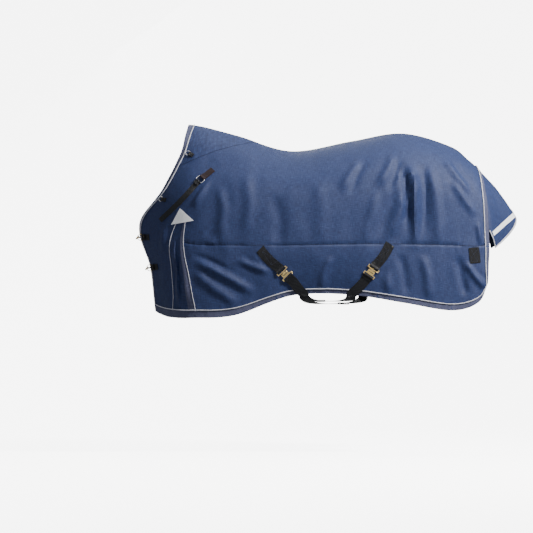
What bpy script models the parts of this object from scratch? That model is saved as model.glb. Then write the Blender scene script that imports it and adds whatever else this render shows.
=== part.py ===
"""A turnout rug for a horse: quilted cloth body, tail flap, chest snaps and crossed belly surcingles.

The rug hangs as it does on the horse. The origin is on the horse's spine where the back dips, +X runs
to the tail, +Z is up, and the horse's left side is at -Y. Everything is in metres.
"""

import math

import bmesh
import bpy
from mathutils import Matrix, Vector
from mathutils.bvhtree import BVHTree

# Overall sizes of the cloth body.
BODY_LENGTH = 1.743
BODY_DEPTH = 0.978
BODY_WIDTH = 0.680

# Thickness of each cloth layer, and the gap left between two layers that touch.
SHELL_THICK = 0.0016
FILL_THICK = 0.0060
LINING_THICK = 0.0012
LAYER_GAP = 0.0007
SEAM_GAP = 0.0006
TAPE_THICK = 0.0010
BINDING_WIDTH = 0.022
PIPING_RADIUS = 0.0024

# Webbing, wire and plate that the hardware is made from.
WEB_THICK = 0.0022
SURCINGLE_WIDTH = 0.050
SHOULDER_WEB = 0.029
CHEST_WEB = 0.025
RING_WIRE = 0.0021
FIT_GAP = 0.0004
RIM_GAP = 0.0013
PIPING_GAP = 0.0014

STACK = SHELL_THICK + FILL_THICK + LINING_THICK + 2 * LAYER_GAP
LEFT, RIGHT = -1, 1

# Ribs of the horse's outline from front to rear, in hundredths of a metre on the left half. Each rib has
# seven points (x, y, z) from the spine down to the hem, and the fifth lies on the horizontal side seam.
RIBS = (
    ((-62, 0, 14.6), (-63.6, 7.5, 8.8), (-66.5, 12, -1.5), (-75, 13.5, -18),
     (-86.6, 0, -36.5), (-81.1, 0, -57), (-78.6, 0, -79)),
    ((-60, 0, 14.4), (-61.2, 8.5, 7.4), (-63.5, 14.5, -3), (-71, 18, -19),
     (-82.5, 9, -39), (-77.9, 9.5, -59), (-75, 10, -81.8)),
    ((-56, 0, 13.8), (-57.5, 10, 6.6), (-59.5, 17.5, -5), (-64.5, 22.5, -20),
     (-73, 19, -42), (-70.5, 19, -61), (-69, 19.5, -82.8)),
    ((-50, 0, 12.4), (-51, 11, 5.8), (-52, 19.5, -6), (-54.5, 26.2, -21),
     (-59.5, 26.8, -46), (-60, 27, -63), (-60, 26.5, -82.8)),
    ((-36, 0, 8.6), (-36, 12, 3.4), (-36, 21.5, -6), (-36.5, 28.8, -20),
     (-38, 31.5, -46.5), (-38.5, 31.5, -63), (-38.5, 30.8, -81.4)),
    ((-10, 0, 1.2), (-10, 13, -1.6), (-10, 23.5, -9), (-10, 31, -21),
     (-10, 34, -46.5), (-10, 33.2, -59), (-10, 30.5, -71.6)),
    ((20, 0, 6.2), (20, 13, 3.5), (20, 23.5, -4), (20, 31, -18),
     (20, 33.8, -46), (20, 33.2, -59), (20, 30.8, -71.3)),
    ((46, 0, 10.2), (46, 13, 7.2), (46, 22.5, -1), (46, 29, -16),
     (46, 31.2, -46), (46, 31.5, -61), (46, 31.5, -75.2)),
    ((70, 0, 3.8), (70, 12, 0.8), (70, 20.5, -7), (70, 26.2, -20),
     (70, 28.5, -46.5), (70, 29, -63), (70, 29, -79)),
    ((79.5, 0, -3.3), (80, 11, -5), (80.8, 18.5, -12), (82, 23.8, -24),
     (83, 26.2, -47), (83.5, 27, -62), (83.5, 27.2, -75)),
    ((84.8, 0, -8), (85.6, 9.5, -10), (86.8, 16, -16), (88, 21.2, -26),
     (88.8, 23.8, -46), (88.6, 24.8, -57.5), (88.3, 25.2, -65.5)),
)
NET_LENGTH, NET_DEPTH, NET_WIDTH = 174.3, 97.8, 68.0
LAST_RIB, LAST_POINT = 10, 6

# Where the seams run, counted in ribs (u, front to rear) and in points down a rib (v, spine to hem).
SEAM_V = 4.0
GUSSET_TOP_V = 3.6
NECK_END_V = 4.0
FLAP_SETBACK = 0.30
UNDERLAP = 0.90
UNDERLAP_SINK = 0.0140
FLAP_RAISE = 0.0095
ROWS = (0, 0.7, 1.4, 1.75, 2.1, 2.8, 3.3, GUSSET_TOP_V, 3.78, SEAM_V, 4.35, 4.75, 5.25)
REAR_COLUMNS = (4, 4.9, 5.8, 6.7, 7.6, 8.5, 8.9, 9.3)
FRONT_COLUMNS = 4
GUSSET_TAPE_SHARE = 0.32
GUSSET_FIRST = 1 + FRONT_COLUMNS
GUSSET_LAST = GUSSET_FIRST + 2
COLUMN_COUNT = GUSSET_LAST + 1 + len(REAR_COLUMNS) + 2
ROW_COUNT = len(ROWS) + 2


def scaled(x, y, z):
    return Vector((x * BODY_LENGTH / NET_LENGTH, y * BODY_WIDTH / NET_WIDTH, z * BODY_DEPTH / NET_DEPTH))


def ease(share):
    share = min(1.0, max(0.0, share))
    return share * share * (3 - 2 * share)


def mix(a, b, share):
    return a + (b - a) * share


# ---------------------------------------------------------------- the skin that all the cloth follows

def mirrored(point):
    return Vector((point.x, -point.y, point.z))


def padded_net():
    """The ribs with one more rib and point all round, so that the curve through them has its ends."""
    net = []
    for rib in RIBS:
        points = [scaled(*point) for point in rib]
        net.append([mirrored(points[1]), *points, 2 * points[-1] - points[-2]])
    before = [2 * a - b for a, b in zip(net[0], net[1])]
    chest = int(NECK_END_V) + 1
    before[chest:] = [mirrored(point) for point in net[1][chest:]]
    after = [2 * a - b for a, b in zip(net[-1], net[-2])]
    return [before, *net, after]


NET = padded_net()


def curve_through(a, b, c, d, share):
    """A smooth curve from b to c that also looks at a and d, the points on either side."""
    return 0.5 * (2 * b + (c - a) * share + (2 * a - 5 * b + 4 * c - d) * share**2
                  + (3 * b - a - 3 * c + d) * share**3)


def skin(u, v):
    """A point of the left half's outer face, on the positive Y side."""
    i = min(max(int(math.floor(u)), 0), LAST_RIB - 1)
    j = min(max(int(math.floor(v)), 0), LAST_POINT - 1)
    rows = [curve_through(*[NET[i + k][j + m] for m in range(4)], v - j) for k in range(4)]
    return curve_through(*rows, u - i)


def outward(u, v, step=0.02):
    along = skin(u + step, v) - skin(u - step, v)
    down = skin(u, v + step) - skin(u, v - step)
    return along.cross(down).normalized()


def on_rug(side, u, v, out=0.0):
    """The point at (u, v) on one side of the rug, standing out from the skin. A negative u is past the chest."""
    chest = ease((v - 3.3) / 0.6) * ease((1.2 - u) / (1.2 + FLAP_SETBACK * side))
    out += chest * (FLAP_RAISE if side == LEFT else -UNDERLAP_SINK)
    if u < 0:
        side, u = -side, -u
    point = skin(u, v) + outward(u, v) * out
    return Vector((point.x, point.y * side, point.z))


def front_edge(side, v):
    """Where the front edge lies: set back on the left flap, carried past the middle on the right one."""
    if side == LEFT:
        return FLAP_SETBACK * ease((v - 3.4) / 0.8)
    return -UNDERLAP * min(1.0, max(0.0, (v - NECK_END_V) / 0.65))


def gusset_front(v):
    return mix(2.25, 1.9, (max(v, GUSSET_TOP_V) - GUSSET_TOP_V) / (LAST_POINT - GUSSET_TOP_V))


def gusset_rear(v):
    return mix(2.6, 3.15, (max(v, GUSSET_TOP_V) - GUSSET_TOP_V) / (LAST_POINT - GUSSET_TOP_V))


def per_metre_along(u, v, step):
    return abs(step) / (skin(u + step, v) - skin(u, v)).length


def column(side, index, v):
    """The u of grid column number index, on the row at v."""
    edge = front_edge(side, v)
    bound = edge + BINDING_WIDTH * per_metre_along(max(edge, 0), v, 0.1)
    if index == 0:
        return edge
    if index < GUSSET_FIRST:
        return mix(bound, gusset_front(v), (index - 1) / FRONT_COLUMNS)
    if index <= GUSSET_LAST:
        return mix(gusset_front(v), gusset_rear(v), (0, 1 - GUSSET_TAPE_SHARE, 1)[index - GUSSET_FIRST])
    index -= GUSSET_LAST + 1
    if index == 0:
        return mix(gusset_rear(v), REAR_COLUMNS[0], 0.5)
    if index <= len(REAR_COLUMNS):
        return REAR_COLUMNS[index - 1]
    if index == len(REAR_COLUMNS) + 1:
        return LAST_RIB - BINDING_WIDTH * per_metre_along(LAST_RIB, v, -0.1)
    return LAST_RIB


def row_v(row):
    if row < len(ROWS):
        return ROWS[row]
    from_hem = (BINDING_WIDTH + 2 * PIPING_RADIUS + PIPING_GAP, BINDING_WIDTH, 0)[row - len(ROWS)]
    return LAST_POINT - from_hem * per_metre_along_rib()


def per_metre_along_rib(u=5.0, step=0.1):
    return step / (skin(u, LAST_POINT) - skin(u, LAST_POINT - step)).length


def knot(index, row, out):
    """The grid's point at a column and a signed row: rows below zero are on the left side."""
    side = LEFT if row < 0 else RIGHT
    v = row_v(abs(row))
    return on_rug(side, column(side, index, v), v, out)


# ---------------------------------------------------------------- objects, collections and materials

def clear_scene():
    for obj in list(bpy.data.objects):
        bpy.data.objects.remove(obj)
    for name in ("turnout_rug", "cutters"):
        bpy.context.scene.collection.children.link(bpy.data.collections.new(name))


def material(name, colour, rough, metal=0.0):
    found = bpy.data.materials.get(name)
    if found:
        return found
    made = bpy.data.materials.new(name)
    made.use_nodes = True
    shader = made.node_tree.nodes["Principled BSDF"]
    shader.inputs["Base Color"].default_value = (*colour, 1)
    shader.inputs["Roughness"].default_value = rough
    shader.inputs["Metallic"].default_value = metal
    return made


FINISHES = {
    "shell_cloth": ((0.045, 0.075, 0.19), 0.75),
    "lining_cloth": ((0.03, 0.04, 0.09), 0.6),
    "fill": ((0.8, 0.8, 0.82), 0.9),
    "binding_tape": ((0.11, 0.12, 0.21), 0.8),
    "piping": ((0.62, 0.62, 0.68), 0.5),
    "reflective": ((0.8, 0.82, 0.88), 0.35),
    "webbing": ((0.012, 0.014, 0.018), 0.7),
    "label": ((0.12, 0.02, 0.03), 0.6),
    "brass": ((0.72, 0.48, 0.17), 0.3, 1.0),
    "nickel": ((0.62, 0.62, 0.63), 0.28, 1.0),
}


def add(name, data, finish, collection="turnout_rug"):
    obj = bpy.data.objects.new(name, data)
    bpy.data.collections[collection].objects.link(obj)
    if finish:
        data.materials.append(material(finish, *FINISHES[finish]))
    return obj


def mesh_object(name, shape, finish, collection="turnout_rug"):
    data = bpy.data.meshes.new(name)
    shape.to_mesh(data)
    shape.free()
    return add(name, data, finish, collection)


def solidify(obj, thickness, offset):
    wall = obj.modifiers.new("wall", "SOLIDIFY")
    wall.thickness = thickness
    wall.offset = offset
    split = obj.modifiers.new("facets", "TRIANGULATE")
    split.quad_method = "SHORTEST_DIAGONAL"
    return obj


# ---------------------------------------------------------------- cloth

def slab(name, keep, out, thickness, finish, inset=SEAM_GAP / 2):
    """A layer of cloth over the grid cells that keep(column, row, side) picks, its outer face out from the skin."""
    shape = bmesh.new()
    bmesh.ops.create_grid(shape, x_segments=COLUMN_COUNT, y_segments=2 * ROW_COUNT, size=1)
    place = {}
    for vertex in shape.verts:
        index = round((vertex.co.x + 1) / 2 * COLUMN_COUNT)
        row = round((vertex.co.y + 1) * ROW_COUNT) - ROW_COUNT
        place[vertex] = (index, row)
        vertex.co = knot(index, row, out)
    spare = []
    for face in shape.faces:
        index = min(place[vertex][0] for vertex in face.verts)
        low = min(place[vertex][1] for vertex in face.verts)
        side, row = (LEFT, -low - 1) if low < 0 else (RIGHT, low)
        if not keep(index, row, side):
            spare.append(face)
    bmesh.ops.delete(shape, geom=spare, context="FACES")
    shape.normal_update()
    moves = {}
    for vertex in shape.verts:
        if vertex.is_boundary:
            centre = sum((face.calc_center_median() for face in vertex.link_faces), Vector())
            centre /= len(vertex.link_faces)
            moves[vertex] = (centre - vertex.co).normalized() * inset
    for vertex, move in moves.items():
        vertex.co += move
    return solidify(mesh_object(name, shape, finish), thickness, -1)


SEAM_ROW = ROWS.index(SEAM_V)
GUSSET_ROW = ROWS.index(GUSSET_TOP_V)


def in_gusset(index, row):
    return GUSSET_FIRST <= index < GUSSET_LAST and row >= GUSSET_ROW


def in_side_panel(index, row):
    return index >= GUSSET_LAST and row >= SEAM_ROW


def make_cloth():
    slab("insulation", lambda i, r, s: True, -(SHELL_THICK + LAYER_GAP), FILL_THICK, "fill")
    slab("lining", lambda i, r, s: True, -(STACK - LINING_THICK), LINING_THICK, "lining_cloth")
    main = slab("main_panel", lambda i, r, s: not (in_gusset(i, r) or in_side_panel(i, r)),
                0, SHELL_THICK, "shell_cloth")
    withers = slab("withers_panel", lambda i, r, s: r < GUSSET_ROW and i < GUSSET_LAST + 3,
                   0, SHELL_THICK, "shell_cloth")
    trim(main, withers_outline(-SEAM_GAP / 2), "DIFFERENCE")
    trim(withers, withers_outline(SEAM_GAP / 2), "INTERSECT")
    for side, word in ((LEFT, "left"), (RIGHT, "right")):
        slab("side_panel_" + word, lambda i, r, s: s == side and in_side_panel(i, r),
             0, SHELL_THICK, "shell_cloth")
        slab("gusset_" + word, lambda i, r, s: s == side and in_gusset(i, r),
             0, SHELL_THICK, "shell_cloth")


# Side view of the seam behind the withers, from the neck edge to the spine, in hundredths of a metre.
WITHERS_SEAM = ((-72, -9.5), (-60.8, -4), (-55, -1.6), (-48.3, 1), (-41.2, 3), (-33, 5), (-22, 6.4))
ABOVE_SPINE = 30


def withers_outline(lift):
    seam = [scaled(x, 0, z) + Vector((0, 0, lift)) for x, z in WITHERS_SEAM]
    top = [scaled(WITHERS_SEAM[-1][0], 0, ABOVE_SPINE), scaled(WITHERS_SEAM[0][0], 0, ABOVE_SPINE)]
    return seam + top


def trim(obj, outline, operation, side=0):
    """Cuts cloth to a side-view outline. With a side, the cutter reaches over that side only."""
    shape = bmesh.new()
    start = -BODY_WIDTH if side != RIGHT else 0.0
    end = BODY_WIDTH if side != LEFT else 0.0
    ring = [shape.verts.new((point.x, start, point.z)) for point in outline]
    face = shape.faces.new(ring)
    walls = bmesh.ops.extrude_face_region(shape, geom=[face])
    moved = [item for item in walls["geom"] if isinstance(item, bmesh.types.BMVert)]
    bmesh.ops.translate(shape, verts=moved, vec=(0, end - start, 0))
    bmesh.ops.recalc_face_normals(shape, faces=shape.faces)
    cutter = mesh_object(obj.name + "_outline", shape, None, "cutters")
    cutter.hide_render = True
    cutter.display_type = "WIRE"
    cut = obj.modifiers.new("outline", "BOOLEAN")
    cut.operation = operation
    cut.object = cutter


# ---------------------------------------------------------------- bindings, piping and other trim

def neck_rim():
    """The neck opening's rim from the left flap to the right one, as (rim knot, knot inside it, its neighbour)."""
    return [((0, row), (1, row), (1, row)) for row in range(-SEAM_ROW, SEAM_ROW + 1)]


def edge_rim(side):
    """One side's rim from the chest down the front flap, along the hem and up the rear edge to the spine."""
    def pair(index, row, inner, inner_row, beside=None):
        beside = beside or (inner, inner_row)
        return ((index, side * row), (inner, side * inner_row), (beside[0], side * beside[1]))

    hem, bound, last = ROW_COUNT, ROW_COUNT - 1, COLUMN_COUNT
    pairs = [pair(0, row, 1, row) for row in range(SEAM_ROW, bound)]
    pairs += [pair(0, bound, 1, bound, (1, bound - 1)), pair(0, hem, 1, bound), pair(1, hem, 1, bound, (2, bound))]
    pairs += [pair(index, hem, index, bound) for index in range(2, last - 1)]
    pairs += [pair(last - 1, hem, last - 1, bound, (last - 2, bound)), pair(last, hem, last - 1, bound),
              pair(last, bound, last - 1, bound, (last - 1, bound - 1))]
    return pairs + [pair(last, row, last - 1, row) for row in range(bound - 1, -1, -1)]


CORNER_SPREAD = 0.12


def inside(pair, out):
    """The place just inside the binding for a rim knot: beside a corner it is drawn a little along the rim."""
    return mix(knot(*pair[1], out), knot(*pair[2], out), CORNER_SPREAD)


def strip(name, lines, thickness, offset, finish, outward_hint):
    """A band of cloth through lines of points, each line running across the band."""
    count, across = len(lines), len(lines[0])
    shape = bmesh.new()
    bmesh.ops.create_grid(shape, x_segments=count - 1, y_segments=across - 1, size=1)
    for vertex in shape.verts:
        index = round((vertex.co.x + 1) / 2 * (count - 1))
        part = round((vertex.co.y + 1) / 2 * (across - 1))
        vertex.co = lines[index][part]
    shape.normal_update()
    shape.faces.ensure_lookup_table()
    if shape.faces[0].normal.dot(outward_hint) < 0:
        bmesh.ops.reverse_faces(shape, faces=shape.faces)
    return solidify(mesh_object(name, shape, finish), thickness, offset)


def pulled_in(lines, gap):
    """The same lines with both ends drawn back, to leave a gap to the next piece."""
    first = [mix(a, b, gap / (b - a).length) for a, b in zip(lines[0], lines[1])]
    last = [mix(a, b, gap / (b - a).length) for a, b in zip(lines[-1], lines[-2])]
    return [first, *lines[1:-1], last]


def binding(name, pairs):
    """Tape folded over the rim: an outer leg, the fold and an inner leg."""
    lines = []
    for pair in pairs:
        rim = pair[0]
        away = (knot(*rim, 0) - inside(pair, 0)).normalized() * RIM_GAP
        lines.append([inside(pair, FIT_GAP), knot(*rim, FIT_GAP) + away,
                      knot(*rim, -STACK - RIM_GAP) + away, inside(pair, -STACK - RIM_GAP)])
    hint = inside(pairs[0], 1) - inside(pairs[0], 0)
    return strip(name, pulled_in(lines, SEAM_GAP / 2), TAPE_THICK, 1, "binding_tape", hint)


def tube(name, points, radius, finish, closed=False, resolution=1):
    data = bpy.data.curves.new(name, "CURVE")
    data.dimensions = "3D"
    data.bevel_depth = radius
    data.bevel_resolution = resolution
    data.use_fill_caps = True
    line = data.splines.new("POLY")
    line.points.add(len(points) - 1)
    line.use_cyclic_u = closed
    for place, point in zip(line.points, points):
        place.co = (*point, 1)
    return add(name, data, finish)


def piping(name, pairs):
    """The round cord sewn in along the inner edge of the binding."""
    points = []
    for pair in pairs:
        back = (inside(pair, 0) - knot(*pair[0], 0)).normalized() * (PIPING_RADIUS + PIPING_GAP)
        points.append(inside(pair, PIPING_GAP + PIPING_RADIUS) + back)
    points[0] = mix(points[0], points[1], 0.05)
    points[-1] = mix(points[-1], points[-2], 0.05)
    return tube(name, points, PIPING_RADIUS, "piping")


def make_edges():
    binding("neck_binding", neck_rim())
    piping("neck_piping", neck_rim())
    for side, word in ((LEFT, "left"), (RIGHT, "right")):
        binding("edge_binding_" + word, edge_rim(side))
        piping("edge_piping_" + word, edge_rim(side))


TRIM_THICK = 0.0006
TRIANGLE = ((-66, -28), (-70.4, -36.1), (-59.3, -34.1))


def make_gusset_trim(side, word):
    """The tape down the gusset's rear seam, and the reflective triangle over its top."""
    slab("gusset_binding_" + word,
         lambda i, r, s: s == side and i == GUSSET_LAST - 1 and GUSSET_ROW < r < ROW_COUNT - 2,
         FIT_GAP + TAPE_THICK, TAPE_THICK, "binding_tape")
    triangle = slab("reflective_triangle_" + word,
                    lambda i, r, s: s == side and GUSSET_FIRST - 2 <= i <= GUSSET_LAST + 1
                    and GUSSET_ROW - 3 <= r <= GUSSET_ROW,
                    FIT_GAP + TRIM_THICK, TRIM_THICK, "reflective")
    trim(triangle, [scaled(x, 0, z) for x, z in TRIANGLE], "INTERSECT", side)


# ---------------------------------------------------------------- tail flap

TAIL_THICK = 0.004
TAIL_COLUMNS = 4
TAIL_BULGE = 0.012
# For each line of the flap: where it starts on the rug's rear rim, and where its free end hangs.
TAIL_LINES = (
    (0.0, (100.5, 0, -29)),
    (0.7, (102.8, 4.5, -31.6)),
    (1.4, (103.2, 8, -35.4)),
    (2.1, (100.8, 11, -40)),
    (2.8, (96.5, 14.5, -44.6)),
    (GUSSET_TOP_V, (92.3, 19.2, -48)),
)


def tail_line(v):
    """The free end of the flap's line that starts at v on the rug's rear rim."""
    starts = [start for start, end in TAIL_LINES]
    ends = [scaled(*end) for start, end in TAIL_LINES]
    ends = [mirrored(ends[1]), *ends, 2 * ends[-1] - ends[-2]]
    index = max(k for k in range(len(starts) - 1) if starts[k] <= v)
    share = (v - starts[index]) / (starts[index + 1] - starts[index])
    return curve_through(*ends[index:index + 4], share)


def tail_point(row, share):
    """A point of the flap's outer face, at a share of the way from the rug's rim to the free edge."""
    side, v = (LEFT if row < 0 else RIGHT), ROWS[abs(row)]
    rim = skin(LAST_RIB, v)
    away = (rim - skin(LAST_RIB - 0.1, v)).normalized()
    start = rim + away * (RIM_GAP + TAPE_THICK + 3 * FIT_GAP) - outward(LAST_RIB, v) * STACK / 3
    point = mix(start, tail_line(v), share)
    point += outward(LAST_RIB, v) * TAIL_BULGE * 4 * share * (1 - share)
    return Vector((point.x, point.y * side, point.z))


def tail_sheet(name, out, thickness, finish):
    """A layer of the flap, with its origin on the flap's hinge line at the top of the rug's rear rim."""
    rows = ROWS.index(TAIL_LINES[-1][0])
    hinge = tail_point(0, 0)
    shape = bmesh.new()
    bmesh.ops.create_grid(shape, x_segments=TAIL_COLUMNS, y_segments=2 * rows, size=1)
    for vertex in shape.verts:
        row = round((vertex.co.y + 1) * rows) - rows
        vertex.co = tail_point(row, (vertex.co.x + 1) / 2) - hinge
    shape.normal_update()
    for vertex in shape.verts:
        vertex.co += vertex.normal * out
    sheet = solidify(mesh_object(name, shape, finish), thickness, -1)
    sheet.location = hinge
    return sheet


# Side view of the reflective strip that crosses the flap.
TAIL_STRIP = ((104, -28), (104.6, -31.5), (88.4, -45), (88.4, -41.2), (99.6, -29.6), (99.6, -28))


def make_tail():
    tail_sheet("tail_flap", 0, TAIL_THICK, "shell_cloth")
    band = tail_sheet("tail_reflective_strip", FIT_GAP + TRIM_THICK, TRIM_THICK, "reflective")
    trim(band, [scaled(x, 0, z) for x, z in TAIL_STRIP], "INTERSECT")


# ---------------------------------------------------------------- webbing laid on the cloth

def shell_facets(side):
    """The outer cloth of one side as flat facets, for webbing to lie on."""
    width = COLUMN_COUNT + 1
    points = [knot(index, side * row, 0) for row in range(ROW_COUNT + 1) for index in range(width)]
    faces = []
    for row in range(ROW_COUNT):
        for index in range(COLUMN_COUNT):
            a = row * width + index
            b, c, d = a + 1, a + width + 1, a + width
            if (points[a] - points[c]).length < (points[b] - points[d]).length:
                faces += [(a, b, c), (a, c, d)]
            else:
                faces += [(b, c, d), (b, d, a)]
    return BVHTree.FromPolygons(points, faces)


def shell_curve(side, steps=(90, 48)):
    """The same cloth as the smooth skin, as many small facets."""
    rows = [LAST_POINT * step / steps[1] for step in range(steps[1] + 1)]
    points = []
    for v in rows:
        edge = front_edge(side, v)
        points += [on_rug(side, mix(edge, LAST_RIB, step / steps[0]), v) for step in range(steps[0] + 1)]
    width = steps[0] + 1
    faces = [(a, a + 1, a + width + 1, a + width) for row in range(steps[1])
             for a in range(row * width, row * width + steps[0])]
    return BVHTree.FromPolygons(points, faces)


CLOTH = {}


def facing(side, u, v):
    """The outward direction at a place on the rug."""
    return (on_rug(side, u, v, 0.01) - on_rug(side, u, v, 0)).normalized()


def laid(side, point, normal, out):
    """A point moved on to the cloth, on whichever is higher of its facets and its smooth skin, then out."""
    if side not in CLOTH:
        CLOTH[side] = (shell_facets(side), shell_curve(side))
    found = [tree.find_nearest(point)[0] for tree in CLOTH[side]]
    return max(found, key=lambda place: place.dot(normal)) + normal * out


def seat(side, start, end, share=0.0, out=0.0):
    """A frame on the rug at a share of the way from start to end, both (u, v): x along, y across, z outward."""
    u, v = mix(start[0], end[0], share), mix(start[1], end[1], share)
    here = on_rug(side, u, v, 0)
    normal = facing(side, u, v)
    ahead = on_rug(side, end[0], end[1], 0) - on_rug(side, start[0], start[1], 0)
    along = (ahead - normal * ahead.dot(normal)).normalized()
    across = normal.cross(along)
    place = Matrix((along, across, normal)).transposed().to_4x4()
    place.translation = laid(side, here, normal, out)
    return place


ACROSS = (-0.5, 0.0, 0.5)


def laid_line(side, place, width, out):
    """The edges and the middle of webbing at a seat, each laid on the cloth."""
    normal = place.col[2].to_3d()
    return [laid(side, place @ Vector((0, width * part, 0)), normal, out) for part in ACROSS]


WEB_OUT = 0.0007 + WEB_THICK / 2
FOLD_LENGTH = 0.022


def loop_radius(bar):
    """The radius of webbing's middle where it turns round a bar."""
    return bar + FIT_GAP + WEB_THICK / 2


def loop_lines(place, width, reach, bar):
    """Webbing that goes on from a seat, round a bar that lies across it at reach, and back on to itself."""
    turn_radius = loop_radius(bar)
    path = [(reach, 0.0)]
    for step in range(1, 5):
        turn = math.pi * step / 4
        path.append((reach + turn_radius * math.sin(turn), turn_radius * (1 - math.cos(turn))))
    path.append((reach - 0.003, 2 * turn_radius))
    path.append((reach - 0.011, WEB_THICK + FIT_GAP))
    path.append((reach - FOLD_LENGTH, WEB_THICK + FIT_GAP))
    return [[place @ Vector((along, width * part, out)) for part in ACROSS] for along, out in path]


def tab(name, side, start, end, width, stations, reach, finish="webbing", bar=RING_WIRE, lift=0.001):
    """Webbing sewn flat from start to end, then looped round a bar. It returns the bar's frame."""
    lines = []
    for step in range(stations):
        out = WEB_OUT + (lift if step == stations - 1 else 0)
        place = seat(side, start, end, step / (stations - 1), out)
        lines.append(laid_line(side, place, width, out))
    place.translation = lines[-1][1]
    strip(name, lines + loop_lines(place, width, reach, bar), WEB_THICK, 0, finish, place.col[2].to_3d())
    return place @ Matrix.Translation((reach, 0, loop_radius(bar)))


# ---------------------------------------------------------------- rings and cast plates

def place_object(obj, place):
    obj.matrix_world = place
    return obj


def d_ring(name, bar, width, depth, finish, wire=RING_WIRE):
    """A D-shaped ring whose straight side lies across the bar's frame and whose round side points along it."""
    points = []
    for step in range(13):
        turn = math.pi * step / 12 - math.pi / 2
        points.append((depth * math.cos(turn) ** 0.8 if step not in (0, 12) else 0, width / 2 * math.sin(turn), 0))
    return place_object(tube(name, points, wire, finish, closed=True), bar)


def square_ring(name, bar, width, depth, finish, wire=RING_WIRE):
    """A rectangular ring with its near side in the bar's frame."""
    corner = 0.003
    points = []
    for x, y, start in ((depth - corner, width / 2 - corner, 0), (corner, width / 2 - corner, 90),
                        (corner, corner - width / 2, 180), (depth - corner, corner - width / 2, 270)):
        for step in range(3):
            turn = math.radians(start + 45 * step)
            points.append((x + corner * math.cos(turn), y + corner * math.sin(turn), 0))
    return place_object(tube(name, points, wire, finish, closed=True), bar)


def cast_plate(name, outlines, thick, place, finish="brass"):
    """A flat casting: the first outline is its rim, and the others are its holes."""
    data = bpy.data.curves.new(name, "CURVE")
    data.dimensions = "2D"
    data.fill_mode = "BOTH"
    data.extrude = thick / 2
    for outline in outlines:
        line = data.splines.new("POLY")
        line.points.add(len(outline) - 1)
        line.use_cyclic_u = True
        for point, (x, y) in zip(line.points, outline):
            point.co = (x, y, 0, 1)
    return place_object(add(name, data, finish), place)


def rounded_box(x0, x1, y0, y1, corner, steps=2):
    points = []
    for x, y, start in ((x1 - corner, y1 - corner, 0), (x0 + corner, y1 - corner, 90),
                        (x0 + corner, y0 + corner, 180), (x1 - corner, y0 + corner, 270)):
        for step in range(steps + 1):
            turn = math.radians(start + 90 * step / steps)
            points.append((x + corner * math.cos(turn), y + corner * math.sin(turn)))
    return points


# ---------------------------------------------------------------- neck rings and shoulder straps

NECK_RING = (0.026, 0.022)
NECK_TAB_WIDTH = 0.020
NECK_TAB_LENGTH = 0.020
# How far down the neck rim each ring sits.
NECK_RING_V = {"upper": 1.75, "lower": 3.25}
LABEL_SIZE = (0.056, 0.032)
SHOULDER_LINE = ((3.22, 2.20), (1.50, 3.70))
LABEL_SHARE = 0.20
STRAP_START = 0.34
STRAP_STATIONS = 12
TAB_REACH = 0.006
SHOULDER_RING = (0.040, 0.024)


def from_rim(side, v, distance):
    """The u that lies a distance behind the front rim, measured along the rug at v."""
    u, step = max(front_edge(side, v), 0), 0.02
    while distance > 0:
        distance -= (skin(u + step, v) - skin(u, v)).length
        u += step
    return u


def make_neck_rings(side, word):
    tip = BINDING_WIDTH + 2 * PIPING_RADIUS + 2 * FIT_GAP + 2 * RING_WIRE
    end = tip + NECK_RING[1] + TAB_REACH
    for name, v in NECK_RING_V.items():
        places = [(from_rim(side, v, far), v) for far in (end + NECK_TAB_LENGTH, end)]
        bar = tab(f"neck_ring_tab_{name}_{word}", side, *places, NECK_TAB_WIDTH, 3, TAB_REACH)
        d_ring(f"neck_ring_{name}_{word}", bar, *NECK_RING, "nickel")


def along_line(line, share):
    return tuple(mix(a, b, share) for a, b in zip(*line))


def make_shoulder(side, word):
    """A label patch that holds a rectangular ring, and the strap that runs from the ring to the neck."""
    top, split = along_line(SHOULDER_LINE, 0), along_line(SHOULDER_LINE, LABEL_SHARE)
    bar = tab("shoulder_label_" + word, side, top, split, LABEL_SIZE[1], 4, TAB_REACH, "label")
    square_ring("shoulder_ring_" + word, bar, *SHOULDER_RING, "nickel")
    low = bar @ Matrix.Translation((SHOULDER_RING[1], 0, 0)) @ Matrix.Rotation(math.pi, 4, "Z")
    strap_end = low @ Matrix.Translation((-TAB_REACH, 0, -loop_radius(RING_WIRE)))
    lines = []
    for step in range(STRAP_STATIONS):
        share = mix(1.0, STRAP_START, step / (STRAP_STATIONS - 1))
        place = seat(side, *reversed(SHOULDER_LINE), 1 - share, WEB_OUT)
        lines.append(laid_line(side, place, SHOULDER_WEB, WEB_OUT))
    loop = loop_lines(strap_end, SHOULDER_WEB, TAB_REACH, RING_WIRE)
    strip("shoulder_strap_" + word, lines + loop, WEB_THICK, 0, "webbing", strap_end.col[2].to_3d())


# ---------------------------------------------------------------- chest closures

CHEST_V = {"upper": 4.30, "lower": 5.05}
# How much higher each strap starts than its ring, so that it aims at the ring.
CHEST_STRAP_RISE = {"upper": 0.115, "lower": 0.055}
CHEST_RING = (0.034, 0.026)
CHEST_RING_TILT = math.radians(55)
CHEST_TAB_WIDTH = 0.030
CHEST_TAB_LENGTH = 0.045
CHEST_STRAP_END = 0.60
CHEST_STRAP_START = 1.6
CHEST_STRAP_LIFT = 0.007
SNAP_THICK = 0.005
HOOK_INNER, HOOK_OUTER = 0.0080, 0.0115
SHANK_HALF, SHANK_START, SHANK_END = 0.0050, 0.014, 0.036
GATE_THICK = 0.0036
SNAP_TURN = math.radians(55)
SLOT_BAR = 0.0018
SLOT_BAR_ROUND = 0.0030
SLOT_DEPTH = 0.0068
COLLAR_HALF = 0.0040
SWIVEL_SIDE_GAP = 0.0032
SWIVEL_SLOT_DEPTH = 0.0105


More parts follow.
